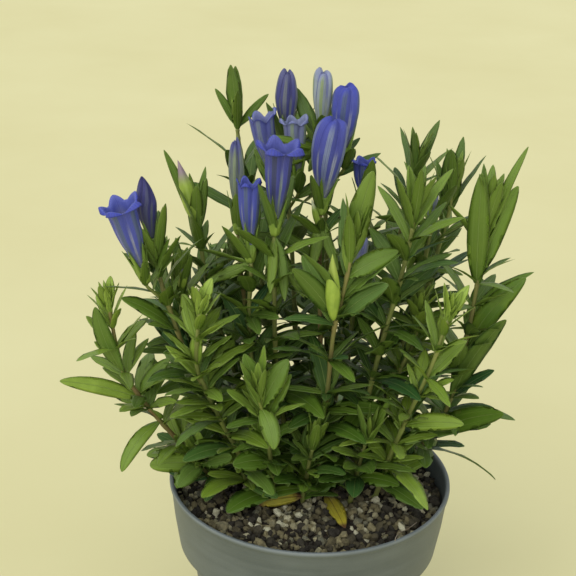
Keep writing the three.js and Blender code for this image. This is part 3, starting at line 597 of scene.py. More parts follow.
def mound(radius, reach):
    """The height of the grit at a distance from the pot's axis, which falls to its edge at reach."""
    return GRIT_EDGE + GRIT_MOUND * (1 - (radius / reach) ** 2)


class Room:
    """The points that the plant already fills, with the part of the plant that fills each."""

    def __init__(self):
        self.points = np.zeros((MOST_POINTS, 3))
        self.owners = np.zeros(MOST_POINTS, int)
        self.count = 0
        self.names = {}

    def take(self, points, owner):
        """Points are added to the filled ones, under their owner's number."""
        last = self.count + len(points)
        self.points[self.count:last] = points
        self.owners[self.count:last] = self.names.setdefault(owner, len(self.names))
        self.count = last

    def is_clear(self, points, owner, gap=LEAF_GAP):
        """Whether points keep out of the pot and its grit and a gap away from what others fill."""
        radius = np.hypot(points[:, 0], points[:, 1])
        over_grit = mound(radius, RIM_RADIUS) + LEAF_GAP
        over_pot = np.where(radius > RIM_RADIUS - 9, POT_HEIGHT + 3, over_grit)
        floor = np.where(radius > RIM_RADIUS + 4, 4, over_pot)
        if np.any(points[:, 2] <= floor):
            return False
        filled = self.points[:self.count]
        near = np.all((filled > points.min(0) - gap) & (filled < points.max(0) + gap), axis=1)
        others = filled[near & (self.owners[:self.count] != self.names.get(owner, -1))]
        if len(others) == 0:
            return True
        apart = others[:, None] - points[None]
        return bool(np.all((apart ** 2).sum(axis=-1) >= gap ** 2))


class Scatter:
    """A repeatable scatter between -1 and 1: each state is the last one times 16807."""

    def __init__(self, state):
        self.state = state

    def __call__(self):
        self.state = self.state * 16807 % 2147483647
        return self.state / 2147483647 * 2 - 1


# A leaf isn't grown where a listed one has its foot this near in height and points much the same way.
PLACED_NEAR = 9
PLACED_LIKE = 0.5
# What a leaf tries in turn when its place is taken: degrees of turn and lift, and a share of length.
TRIES = [(0, 0, 1), (14, 6, 1), (-14, 6, 1), (0, 20, 0.95), (28, 10, 0.9), (-28, 10, 0.9), (0, -16, 0.85),
         (40, 0, 0.8), (-40, 0, 0.8), (16, 34, 0.8), (-16, 34, 0.8), (22, -14, 0.66), (-22, -14, 0.66),
         (0, 44, 0.6), (0, 10, 0.5)]


def between(low, high, share):
    """The number at a share of the way from low to high."""
    return low + (high - low) * share


def compass(degrees):
    """The level way at an angle from +X towards +Y."""
    return np.array([math.cos(math.radians(degrees)), math.sin(math.radians(degrees)), 0])


def pair_share(height):
    """Where a pair stands on its stem: pairs crowd a little towards the foot."""
    return between(LOWEST_PAIR, HIGHEST_PAIR, height ** PAIR_CROWDING)


def grown_leaves(name, placed, room, scatter):
    """Pairs from the top of the shoot down, each turned a quarter from the one below."""
    _, _, count, first_turn, lengths, widest, _ = SHOOTS[name]
    points = stem_points(name)
    leaves = []
    for pair in range(count - 1, -1, -1):
        height = pair / (count - 1) if count > 1 else 1
        share = pair_share(height)
        foot = through(points, share)
        stem = heading(points, share)
        up = unit(stem + (UPWARD - stem) * 0.4)
        for half in range(2):
            turn = first_turn + pair * 90 + half * 180 + scatter() * 12
            length = between(*lengths, height) * (LENGTHENED + scatter() * 0.12)
            length *= TOP_PAIR_LENGTH if height == 1 else 1
            width = widest * between(*WIDENED, height) * (1 + scatter() * 0.1)
            lift = between(*LIFTS, height) + scatter() * 8
            droop = between(*BENDS, height) + scatter() * 9
            if any(abs(leaf["foot"][2] - foot[2]) < PLACED_NEAR and leaf["out"] @ compass(turn) > PLACED_LIKE
                   for leaf in placed):
                continue
            for more_turn, more_lift, keep in TRIES:
                leaf = new_leaf(foot, compass(turn + more_turn), up, length * keep, width * keep ** 0.4,
                                math.radians(lift + more_lift), math.radians(droop), height=height)
                if room.is_clear(leaf_samples(leaf, 5), name):
                    room.take(leaf_samples(leaf, 0), name)
                    leaves.append(leaf)
                    break
    return leaves


def grow():
    """Stems and flowers take their places first, then the listed leaves, then the others."""
    room = Room()
    room.take(leaf_samples(placed_leaf(np.array(WITHERED[0], float), *WITHERED[1:]), 0), "withered")
    for name in SHOOTS:
        room.take(even_points(stem_points(name)), name)
    for name, data in FLOWERS.items():
        room.take(flower_samples(name), name + "_flower")
        if data[5]:
            room.take(even_points(stalk_points(name)), data[0])
    placed = {}
    for name, data in SHOOTS.items():
        placed[name] = [dict(placed_leaf(through(stem_points(name), share), *rest), height=share)
                        for share, *rest in data[6]]
        for leaf in placed[name]:
            room.take(leaf_samples(leaf, 0), name)
    scatter = Scatter(FIRST_SCATTER)
    leaves = {name: placed[name] + grown_leaves(name, placed[name], room, scatter) for name in SHOOTS}
    return room, leaves


ROOM, LEAVES = grow()

# Stems
# Round, slightly angled stems with a low joint at each pair of leaves, yellow-green above and flushed
# brown or pink in places. A side flower's stalk leaves its stem in a narrow angle.
CROWN_HALF_SIZE = (46, 40, 14)
STEM_RADII = (1.75, 1.15)
STALK_RADII = (1.05, 0.95)
STEM_SIDES = 10
STEM_ROWS = 60
STALK_ROWS = 16
JOINT_SWELL = 0.4
JOINT_LENGTH = 0.011
LITTLE_BLUSH = 0.15
STALK_RISE = 0.8
STALK_BLUSH = 0.1
STEM_GREEN = (0.15, 0.2, 0.045)
STEM_YELLOW = (0.27, 0.31, 0.08)
STEM_BLUSH = (0.22, 0.1, 0.06)
# How much brown or pink each stem shows; the others show a little.
BLUSHED = {"tall_blue": 0.95, "far_left": 0.8, "front_main": 0.55, "right_back": 0.5, "striped": 0.6,
           "left_flower": 0.5, "far_right": 0.45, "low_left": 0.6}


def gather(skins):
    """Several skins as one: points and marks follow each other and the faces are renumbered."""
    counts = np.cumsum([0] + [len(points) for points, _, _ in skins])
    faces = [np.where(faces < 0, -1, faces + start) for (_, faces, _), start in zip(skins, counts)]
    marks = {label: np.concatenate([skin[2][label] for skin in skins]) for label in skins[0][2]}
    return np.concatenate([skin[0] for skin in skins]), np.concatenate(faces), marks


def round_bar(path, radii, sides, **marks):
    """Rings square to a path, each with its own radius, closed by a point at both ends."""
    way = unit(np.gradient(path, axis=0))
    east = unit(np.array([1.0, 0, 0]) - way * way[:, :1])
    north = np.cross(way, east)
    angle = np.arange(sides) / sides * 2 * np.pi
    ring = np.cos(angle)[:, None] * east[:, None] + np.sin(angle)[:, None] * north[:, None]
    points = path[:, None] + np.asarray(radii)[:, None, None] * ring
    spread = {label: np.concatenate([values[:1], np.repeat(values, sides), values[-1:]])
              for label, values in marks.items()}
    return closed(points, path[0], path[-1]), ring_faces(len(path), sides), spread


def stem_skin(name):
    """The stem from the crown to its tip, thickened by a bump at each joint, and its side stalks."""
    foot = np.array([*SHOOTS[name][0], STEM_FOOT], float)
    root = np.array(CROWN_CENTRE) + CROWN_GATHER * (foot - CROWN_CENTRE) * (1, 1, 0)
    reach = ((root - CROWN_CENTRE) / CROWN_HALF_SIZE) ** 2
    root[2] += CROWN_HALF_SIZE[2] * math.sqrt(1 - reach[0] - reach[1])
    share = np.linspace(0, 1, STEM_ROWS)
    path = np.concatenate([[root], [foot - (foot - root) * 0.03], through(stem_points(name), share)])
    joints = pair_share(np.arange(SHOOTS[name][2]) / max(1, SHOOTS[name][2] - 1))
    swell = JOINT_SWELL * np.exp(-((share[:, None] - joints) / JOINT_LENGTH) ** 2).sum(axis=1)
    radii = np.concatenate([[STEM_RADII[0]] * 2, between(*STEM_RADII, share) + swell])
    rise = np.concatenate([[0, 0], share])
    blush = np.full(len(path), BLUSHED.get(name, LITTLE_BLUSH))
    skins = [round_bar(path, radii, STEM_SIDES, rise=rise, blush=blush)]
    for flower, data in FLOWERS.items():
        if data[0] == name and data[5]:
            along = np.linspace(0, 1, STALK_ROWS)
            stalk = through(stalk_points(flower), along)
            skins.append(round_bar(stalk, between(*STALK_RADII, along), STEM_SIDES,
                                   rise=np.full(STALK_ROWS, STALK_RISE),
                                   blush=np.full(STALK_ROWS, STALK_BLUSH)))
    return gather(skins)


def stem_bark():
    """Yellow-green that turns yellower up the stem, with a fine grain; the blush grows with its mark and
    lies in broad patches.
    """
    material, tree, broad, fine = new_finish("stem_skin", 0.42, 70, 900)
    rise, blush = mark(tree, "rise"), mark(tree, "blush")
    green = shade(broad * 0.5 + rise * 0.5, STEM_GREEN, STEM_YELLOW)
    flushed = (blush * (broad * 0.7 + 0.35)).reckon("MINIMUM", 0.9)
    return cover(material, shade(flushed, green, STEM_BLUSH), fine, 0.12, Roughness=fine * 0.15 + 0.35)


STEM_FINISH = stem_bark()
for name in SHOOTS:
    add_piece("stem_" + name, stem_skin(name), STEM_FINISH, ["shoot_" + name])

# Leaves
# Thin stalkless blades, oblong with a blunt point, broader near the soil, slightly folded along a
# faint midrib and finely pale at the margin. Small leaves fill the axils and tufts close the tips.
BLADE_ROWS = 11
SMALL_BLADE_ROWS = 7
RING_ACROSS = np.array([1, 0.5, 0, -0.5, -1, -0.5, 0, 0.5])
RING_BACK = np.array([0.5, 0, 0, 0, 0.5, 1, 1, 1])
BLADE_BODY = np.array([0, 0, 0, 0, 0, 0.22, 0.45, 0.22])
BLADE_FOLD = 0.15
BLADE_WAVE = 0.07
WAVES_ALONG = 2.3
BROADER = (0.97, 1.16)
BROADER_BY_HAND = 1.08
FULL_TURN_AT = 0.3
WHOLE_BODY_WIDTH = 8
MOST_LEAVES_TO = 220
SMALL_LEAF_GAP = 1.05
TOWARDS_FRONT = np.array([0, -0.92, 0.39])
YOUNG_SHOOTS = ("far_left", "left_young", "right_young", "right_light")
LEAF_DEEP = (0.03, 0.08, 0.01)
LEAF_GREEN = (0.085, 0.165, 0.015)
LEAF_LIGHT = (0.17, 0.265, 0.026)
# A painted bluish reflection that some blades take all over.
LEAF_BLUISH_REFLECTION = (0.025, 0.095, 0.028)
LEAF_YOUNG = (0.33, 0.47, 0.07)
LEAF_BACK = (0.115, 0.185, 0.026)
LEAF_RIB = (0.26, 0.36, 0.1)
LEAF_MARGIN = (0.3, 0.4, 0.12)
rng = np.random.default_rng(517)


def blade_half_width(width, share, blunt):
    """A lance outline blended with a blunt oval one, plus a narrow clasping foot."""
    lance = 2.9 * share ** 0.72 * (1 - share) ** 0.92
    oval = 2.3 * share ** 0.66 * (1 - share) ** 0.5
    return width * 0.5 * (between(lance, oval, blunt) + 0.12 * (1 - share) ** 3)


def blades(leaves, rows):
    """All leaves of a list as closed skins. A ring across the blade has its upper side first; the
    blade bends along its arc, twists, sways to a side and waves at its margin."""
    def column(label):
        """One number of every leaf."""
        return np.array([leaf[label] for leaf in leaves], float)[:, None, None]

    def frame_of(label):
        """One vector of every leaf."""
        return np.array([leaf[label] for leaf in leaves])[:, None, :]

    foot, out, up, side = (frame_of(label) for label in ("foot", "out", "up", "side"))
    length, lift, droop, width = (column(label) for label in ("length", "lift", "droop", "width"))
    blunt, face, twist, sway, wave = (column(label) for label in ("blunt", "face", "twist", "sway", "wave"))
    share = 0.5 - 0.5 * np.cos(np.pi * np.concatenate([[0], np.linspace(0.1, 0.945, rows), [1]]))
    share = share[None, :, None]
    angle = lift - droop * share
    ahead = length / droop * (np.sin(lift) - np.sin(angle))
    rise = length / droop * (np.cos(angle) - np.cos(lift))
    midrib = foot + ahead * out + rise * up + sway * length * share ** 2 * side
    normal = np.cos(angle) * up - np.sin(angle) * out
    roll = face * np.minimum(1, share / FULL_TURN_AT) + twist * share
    across = np.cos(roll) * side + np.sin(roll) * normal
    above = np.cos(roll) * normal - np.sin(roll) * side
    half = blade_half_width(width, share, blunt)
    offset = half * RING_ACROSS
    ripple = BLADE_WAVE * half * np.sin(2 * np.pi * (WAVES_ALONG * share + wave)) * RING_ACROSS ** 2
    body = BLADE_BODY * np.minimum(1, 5 * (1 - share)) * np.minimum(1, width / WHOLE_BODY_WIDTH)
    height = BLADE_FOLD * np.abs(offset) * (1 - 0.3 * RING_ACROSS ** 2) + ripple - body
    points = (midrib[:, :, None] + offset[..., None] * across[:, :, None]
              + height[..., None] * above[:, :, None])
    rings = points[:, 1:-1].reshape(len(leaves), -1, 3)
    skins = np.concatenate([midrib[:, :1], rings, midrib[:, -1:]], axis=1)

    def spread(values):
        """Values of the rings in the order of the points, each end taking its ring's middle."""
        values = np.broadcast_to(values, points.shape[:3])
        inner = values[:, 1:-1].reshape(len(leaves), -1)
        return np.concatenate([values[:, :1, 2], inner, values[:, -1:, 2]], axis=1).ravel()

    marks = {"offset": spread(np.abs(offset)), "margin": spread(half - np.abs(offset)),
             "along": spread(share), "back": spread(RING_BACK),
             "youth": spread(column("youth")), "tone": spread(column("tone"))}
    return skins.reshape(-1, 3), ring_faces(rows, 8, len(leaves)), marks


def dressed(leaf, youth, blunt, **more):
    """A leaf with its own small accidents of shape and tone."""
    accidents = dict(face=0, twist=rng.normal(0, 0.22), sway=rng.normal(0, 0.025), wave=rng.random(),
                     tone=rng.random(), youth=min(1, max(0, youth)), blunt=min(1, max(0, blunt)))
    return {**leaf, **accidents, **more}


def turn_to_front(leaf):
    """The roll about a blade's midrib that turns one of its faces to the front."""
    angle = leaf["lift"] - leaf["droop"] / 2
    normal = math.cos(angle) * leaf["up"] - math.sin(angle) * leaf["out"]
    roll = math.atan2(-(TOWARDS_FRONT @ leaf["side"]), TOWARDS_FRONT @ normal)
    return 0.85 * ((roll + math.pi / 2) % math.pi - math.pi / 2)


def main_leaves(name):
    """The leaves that the CAD solid holds, older, broader and blunter towards the soil."""
    lively = 0.25 if name in YOUNG_SHOOTS else 0
    set_by_hand = len(SHOOTS[name][6])
    full = []
    for k, leaf in enumerate(LEAVES[name]):
        high = (leaf["foot"][2] - GRIT_EDGE) / MOST_LEAVES_TO
        youth = lively + 0.5 * leaf["height"] ** 3 + 0.12 * rng.normal()
        blunt = max(0.3, 0.8 - 1.5 * high) + (0.25 if k < set_by_hand else 0.18 * rng.normal())
        face = turn_to_front(leaf) if k < set_by_hand else 0.3 * rng.normal()
        broader = BROADER_BY_HAND if k < set_by_hand else between(*BROADER, min(1, high * 2))
        lift = leaf["lift"] + math.radians(RAISED.get((name, k), 0))
        if k >= set_by_hand and leaf["height"] > UPRIGHT_TOP and name not in CROWNED:
            lift = max(lift, TOP_LIFT)
        full.append(dressed(leaf, youth, blunt, face=face, width=leaf["width"] * broader, lift=lift))
    return full


def small_leaf(foot, up, turn, length, width, lift, droop, youth, blunt):
    """A leaf of a tuft, a collar or an axil, which turns a little either way."""
    leaf = new_leaf(foot, compass(turn), up, length, width, math.radians(lift), math.radians(droop))
    return dressed(leaf, youth, blunt + 0.15 * rng.normal(), face=0.2 * rng.normal())


# Pairs that close a tip: share of the stem, length, width, lift and bend.
LEAFY_TIP = [(0.935, 41, 8, 75, 10), (0.96, 37, 7.5, 80, 6), (0.98, 30, 6.5, 83, 5), (0.995, 20, 4.5, 85, 3)]
BRUSH_TIP = [(0.93, 34, 7, 58, 18), (0.95, 31, 5.5, 66, 12), (0.965, 31, 5, 76, 8), (0.975, 29, 4.6, 70, 10),
             (0.985, 26, 4.2, 81, 5), (0.99, 22, 3.8, 76, 6), (0.998, 17, 3.4, 86, 3)]
FLOWER_WHORL = [(0.87, 44, 9.5, 62, 12), (0.9, 40, 9, 74, 8), (0.93, 34, 8, 66, 12), (0.955, 30, 6.5, 76, 8),
                (0.985, 22, 4, 72, 8)]
SHUT_TIP = [(0.985, 40, 12, 87, -6), (0.985, 30, 6, 86, 3)]
UPRIGHT_TOP = 0.95
TOP_LIFT = math.radians(77)
# Pairs that clasp the foot of a side flower: share of its stalk, length, width, lift and bend.
LONGEST_FLOWER = 60
COLLAR = [(0.35, 34, 8.5, 50, 14), (0.62, 34, 8, 60, 12), (0.82, 30, 7, 66, 10), (0.97, 25, 5.5, 70, 8)]


def collar_leaves(name):
    """Pairs of leaves up the stalk of each side flower, each pair a quarter from the one below."""
    collar = []
    for flower, data in FLOWERS.items():
        if data[0] != name or data[5] is None:
            continue
        points = stalk_points(flower)
        size = flower_axis(flower)[1] / LONGEST_FLOWER
        for k, (share, length, width, lift, droop) in enumerate(COLLAR):
            up = unit(heading(points, share) + 0.5 * UPWARD)
            for turn in (k * 90 + 20, k * 90 + 200):
                collar.append(small_leaf(through(points, share), up, turn + rng.normal() * 12,
                                         length * size * rng.uniform(0.85, 1.1), width, lift, droop,
                                         0.25 + 0.12 * k, 0.4))
    return collar


def tip_tuft(name):
    """Leaves that close a tip pair by pair, or a whorl of broad ones round the foot of a flower."""
    points = stem_points(name)
    first_turn = SHOOTS[name][3]
    young = name in YOUNG_SHOOTS
    rows = FLOWER_WHORL if name in CROWNED else BRUSH_TIP if young else LEAFY_TIP
    rows = SHUT_TIP if name == "back_tall" else rows
    scale = min(1, SHOOTS[name][4][1] / 32)
    tuft = []
    for k, (share, length, width, lift, droop) in enumerate(rows):
        foot = through(points, share)
        up = unit(heading(points, share) + 0.2 * UPWARD)
        youth = (0.75 if young else 0.3) + 0.7 * k / len(rows)
        for half in range(2):
            turn = first_turn + 45 + k * (80 if young else 90) + half * 180 + rng.normal() * 10
            tuft.append(small_leaf(foot, up, turn, length * scale * rng.uniform(0.88, 1.12),
                                   width * rng.uniform(0.9, 1.1), lift + rng.normal() * 3, droop,
                                   youth, 0.4))
    return tuft


# What an axil's leaves try in turn: degrees from the leaf below, lift and length.
AXIL_TRIES = [(30, 44, 28), (68, 26, 34), (95, 44, 26), (45, 62, 22), (24, 55, 16), (80, 8, 22),
              (60, 60, 12)]


def axil_leaves(name):
    """Small leaves that spring between the stem and each leaf, as large as there is room for."""
    small = []
    for leaf in LEAVES[name]:
        high = (leaf["foot"][2] - GRIT_EDGE) / MOST_LEAVES_TO
        if leaf["height"] > 0.9 or high > 0.6 + 0.35 * rng.random():
            continue
        main_turn = math.degrees(math.atan2(leaf["out"][1], leaf["out"][0]))
        for half in (-1, 1):
            for turn, lift, length in AXIL_TRIES:
                length = length * rng.uniform(0.85, 1.15) * between(1.1, 1.0, high)
                width = length * between(rng.uniform(0.28, 0.38), 0.2, high)
                youth = 0.1 + 0.35 * leaf["height"] ** 2 + 0.12 * rng.normal() + (0.35 if length < 16 else 0)
                twig = small_leaf(leaf["foot"] + 1.5 * leaf["up"], leaf["up"],
                                  main_turn + half * (turn + 7 * rng.normal()),
                                  length, width, lift + 6 * rng.normal(), 24, youth, 0.75 - 0.7 * high)
                if ROOM.is_clear(leaf_samples(twig, 6), name, SMALL_LEAF_GAP):
                    ROOM.take(leaf_samples(twig, 5), name + "_axils")
                    small.append(twig)
                    break
    return small


def make_veins():
    """A shared group for green blades. Rib: the midrib, about 0.4 mm wide. Vein: long veins beside it.
    Margin: the thin pale edge. Height: the midrib sunk above, and a fine network of cells."""
    group = bpy.data.node_groups.new("blade_veins", "ShaderNodeTree")
    offset, margin, along = (mark(group, label) for label in ("offset", "margin", "along"))
    rib = fade(offset / (along * -0.3 + 0.45), 1.25, 0.45)
    across = offset / (offset + margin + 0.01)
    vein = fade(abs(across - 0.46), 0.07, 0.02) * fade(along, 0.98, 0.6)
    cells = put(group, "ShaderNodeTexVoronoi", {"Vector": position(group), "Scale": 900}, "Distance",
                feature="DISTANCE_TO_EDGE")
    height = fade(cells, 0.02, 0.2) * 0.3 + rib * -1.6 + vein * -0.6
    return gives(group, Rib=rib, Vein=vein, Margin=fade(margin, 0.5, 0.12), Height=height)


BLADE_VEINS = make_veins()


def blade_finish(name, deep, green, light, roughness):
    """Waxy green that lightens with youth and tone, paler beneath, with a faint rib and a pale edge; blades
    of one tone take a painted bluish reflection.
    """
    material, tree, broad, fine = new_finish(name, roughness, 55, 600)
    rib, vein, margin, height = from_group(tree, BLADE_VEINS)
    youth, tone, back = (mark(tree, label) for label in ("youth", "tone", "back"))
    lightness = tone * 0.75 + broad * 0.4 - 0.08
    green = shade(fade(lightness, 0.05, 0.75), deep, green)
    green = shade(fade(lightness, 0.75, 1.1) * 0.8, green, light)
    # Painted reflection: blades whose tone is near 0.2 are tinted bluish over the whole blade.
    green = shade(fade(abs(tone - 0.2), 0.1, 0.02) * 0.7, green, LEAF_BLUISH_REFLECTION)
    green = shade(youth ** 1.4, green, LEAF_YOUNG)
    under = fade(back, 0.5, 0.9) * (youth * -0.4 + 0.7)
    green = shade(under, green, LEAF_BACK)
    green = shade(rib * 0.45, green, LEAF_RIB)
    green = shade(vein * 0.1, green, LEAF_RIB)
    green = shade(margin * 0.55, green, LEAF_MARGIN)
    waxy = fine * 0.16 + under * 0.2 + (roughness - 0.08)
    return cover(material, green, fine * 0.15 + height, 0.16, Roughness=waxy, **{"Specular IOR Level": 0.3})


LEAF_FINISH = blade_finish("leaf_green", LEAF_DEEP, LEAF_GREEN, LEAF_LIGHT, 0.42)
YOUNG_FINISH = blade_finish("leaf_young", LEAF_GREEN, LEAF_LIGHT, LEAF_YOUNG, 0.4)
CROWNED = {data[0] for data in FLOWERS.values() if data[5] is None}
YELLOWED = ("front_short", 0)
# Leaves that are held higher than the rule says, by so many degrees, and leaves that have dropped.
RAISED = {("front_main", 19): 38, ("front_right_short", 4): 34, ("right_young", 16): 40,
          ("front_cross", 8): 50, ("front_short", 9): 24}
DROPPED = [("back_tall", 3), ("back_tall", 4), ("back_tall", 5)]
# The two yellow leaves and the bud at the front are kept in sight: no axil leaf may grow before them.
BUD_SHOWN = ((10.5, -43, 284), (8, -49, 330), 11, 5)
KEPT_CLEAR = range(4, 44, 4)
for shown in (LEAVES[YELLOWED[0]][YELLOWED[1]], placed_leaf(np.array(WITHERED[0], float), *WITHERED[1:]),
              placed_leaf(np.array(BUD_SHOWN[0]), *BUD_SHOWN[1:])):
    for ahead in KEPT_CLEAR:
        ROOM.take(leaf_samples(shown, 0) + TOWARDS_FRONT * ahead, "kept in sight")

for name in SHOOTS:
    full = main_leaves(name)
    if name == YELLOWED[0]:
        yellow_leaf = full.pop(YELLOWED[1])
    full = [leaf for k, leaf in enumerate(full) if (name, k) not in DROPPED]
    small = tip_tuft(name) + collar_leaves(name) + axil_leaves(name)
    skin = gather([blades(full, BLADE_ROWS), blades(small, SMALL_BLADE_ROWS)])
    finish, slot = (YOUNG_FINISH, "leaf_young") if name in YOUNG_SHOOTS else (LEAF_FINISH, "leaf")
    add_piece("leaves_" + name, skin, finish, ["shoot_" + name])

# Green buds
# Plump unopened buds of overlapping green sepals, and two small ones that begin to colour. Each is a
# pointed spindle with soft ridges, seated on its stem.
BUD_SIDES = 30
BUD_GREEN = (0.2, 0.32, 0.04)
BUD_LIGHT = (0.42, 0.55, 0.08)
# name: shoot, foot, tip, radius, colour of the tip
BUDS = {
    "bud_front_main": ("front_main", [10.5, -43, 284], [8, -49, 330], 4.6, (0.4, 0.5, 0.1)),
    "bud_left": ("left_bud", [-79.5, 20, 320], [-92, 22, 362], 5, (0.3, 0.22, 0.26)),
    "bud_left_grey": ("left_inner", [-86.8, -4, 284], [-84.9, -6, 303], 3, (0.17, 0.15, 0.28)),
    "bud_pale": ("tall_blue", [-0.6, 3, 327], [-6, 0, 347], 2, (0.62, 0.66, 0.45)),
}


def set_along(points, foot, tip):
    """Points made round +Z, moved so that +Z runs from a foot to a tip."""
    foot = np.asarray(foot, float)
    turn = Vector((0, 0, 1)).rotation_difference(Vector(np.asarray(tip, float) - foot))
    return points @ np.array(turn.to_matrix()).T + foot


def spindle(foot, tip, radius):
    """A spindle whose section has five soft overlapping ridges that wind slowly to the tip."""
    length = float(np.linalg.norm(np.subtract(tip, foot)))
    share = np.linspace(0.02, 0.985, 18)[:, None]
    outline = radius * np.sin(np.pi * share ** 0.8) ** 0.75 * (1 - 0.35 * share ** 3) + 0.25 * (1 - share)
    angle = np.arange(BUD_SIDES) / BUD_SIDES * 2 * np.pi
    overlap = (5 * angle / (2 * np.pi)) % 1
    skin = outline * (1 - 0.13 * overlap ** 3)
    turn = angle + 1.3 * share
    points = closed(around(skin, turn, length * share), [0, 0, 0], [0, 0, length])
    rise = np.concatenate([[0], np.repeat(share[:, 0], BUD_SIDES), [1]])
    return set_along(points, foot, tip), ring_faces(len(share), BUD_SIDES), {"rise": rise}


def bud_finish(name, tip_colour):
    """Mottled light green that takes the colour of the tip over the upper third."""
    material, tree, broad, fine = new_finish(name, 0.42, 120, 900)
    green = shade(broad * 0.6 + 0.2, BUD_GREEN, BUD_LIGHT)
    return cover(material, shade(fade(mark(tree, "rise"), 0.6, 0.85), green, tip_colour), fine, 0.1)


for name, (shoot, foot, tip, radius, tip_colour) in BUDS.items():
    finish = bud_finish(name + "_green", tip_colour)
    add_piece(name, spindle(foot, tip, radius), finish, ["shoot_" + shoot])

# Calyces
# A narrow green tube that holds the foot of each flower, with five narrow pointed lobes that stand
# out a little from the petals. It is one thin skin, outside and inside.
FULL_FLOWER = 52
CALYX_FLOOR = 4
CALYX_WALL = 0.5
CUP_HEIGHT = 13
CUP_RADIUS = 3.9
LOBE_TOP = 26
TUBE_RADIUS = 2.9
LOBES = 5
LOBE_COLUMNS = 14
BELLY = ((0, 0.19, 0.36, 0.52), (0, 0.6, 0.83, 0.96))
CALYX_GREEN = (0.12, 0.22, 0.025)
CALYX_PALE = (0.3, 0.42, 0.07)
CALYX_DARK = (0.045, 0.09, 0.02)


def sector():
    """The angle of each column round a flower, and how far it lies from the middle of its lobe, from
    0 at the middle to 1 at the notch."""
    k = np.arange(LOBES * LOBE_COLUMNS)
    return k / len(k) * 2 * np.pi, np.abs((k % LOBE_COLUMNS) / LOBE_COLUMNS - 0.5) * 2


def unlike(flower, rows):
    """Random numbers, the same in every column of a lobe, that make a flower's lobes unlike."""
    own = np.random.default_rng([ord(letter) for letter in flower])
    return np.repeat(own.normal(size=(rows, LOBES)), LOBE_COLUMNS, axis=1)


def calyx_skin(flower):
    """Height of the rim: the lobes taper to their tips, each of its own length, and the rest ends at
    the cup. Their tips keep a little outside the petals, whose outline is BELLY."""
    radius = FLOWERS[flower][3]
    length = flower_axis(flower)[1]
    size = min(1, length / FULL_FLOWER)
    cup = CUP_HEIGHT * size
    angle, off = sector()
    each = unlike(flower, 2)
    tall = cup + (LOBE_TOP * size - cup) * np.clip(1 + 0.22 * each[0], 0.6, 1.5)
    belly = np.interp((tall - cup) / (length - cup), BELLY[0], BELLY[1])
    tip_radius = np.maximum(belly * radius, TUBE_RADIUS) + 1.5 + 0.9 * np.abs(each[1])
    lobe = np.clip(1 - off / 0.52, 0, 1) ** 0.9
    rim_height = cup + (tall - cup) * lobe - 0.5 * off
    rim_radius = CUP_RADIUS + (np.maximum(CUP_RADIUS + 1, tip_radius) - CUP_RADIUS) * lobe ** 0.8
    up = np.array([0.02, 0.12, 0.26, 0.4, 0.54, 0.67, 0.79, 0.9, 1])[:, None]
    low_radius = 1.7 + (CUP_RADIUS - 1.7) * np.minimum(1, 2.4 * up) ** 0.55
    ridge = 1 + 0.06 * np.cos(2 * np.pi * off) * (1 - up)
    outer_radius = between(low_radius, rim_radius, up ** 1.7) * ridge
    outer_height = rim_height * up
    down = up[::-1]
    wall = CALYX_WALL * np.minimum(1, 3 * (1.1 - 0.9 * lobe * down))
    inner_radius = outer_radius[::-1] - wall
    inner_height = between(CALYX_FLOOR * size + 0.2, rim_height, down)
    heights = np.concatenate([outer_height, inner_height])
    radii = np.concatenate([outer_radius, inner_radius])
    points = closed(around(radii, angle, heights), [0, 0, 0], [0, 0, CALYX_FLOOR * size])
    marks = {"rise": closed(heights / (LOBE_TOP * size), 0, 0), "off": closed(off + 0 * heights, 0, 0)}
    return set_along(points, *FLOWERS[flower][1:3]), ring_faces(len(heights), len(angle)), marks


def calyx_finish():
    """Green, paler low down and along each lobe's middle, darker at the lobe tips."""
    material, tree, broad, fine = new_finish("calyx_green", 0.45, 90, 900)
    rise = mark(tree, "rise")
    band = fade(mark(tree, "off"), 0.3, 0.05) * 0.4
    pale = band.reckon("MAXIMUM", fade(rise, 0.55, 0.1) * 0.75)
    green = shade(broad * 0.3 + pale, CALYX_GREEN, CALYX_PALE)
    tipped = shade(fade(rise, 0.75, 1.05) * 0.6, green, CALYX_DARK)
    return cover(material, tipped, band * 2 + fine, 0.12)


CALYX_FINISH = calyx_finish()
for flower in FLOWERS:
    add_piece("calyx_" + flower, calyx_skin(flower), CALYX_FINISH, ["calyx_" + flower])

# Corollas
# Trumpets of one thin petal skin: five petals joined by folded pleats, violet-blue with greenish or
# dark bands down the outside and a pale foot. Open ones roll their lobes back, shut ones lean them in.
PETAL_WALL = 0.4
OUTER_ROWS = 38
INNER_ROWS = 24
THROAT_ROW = 9
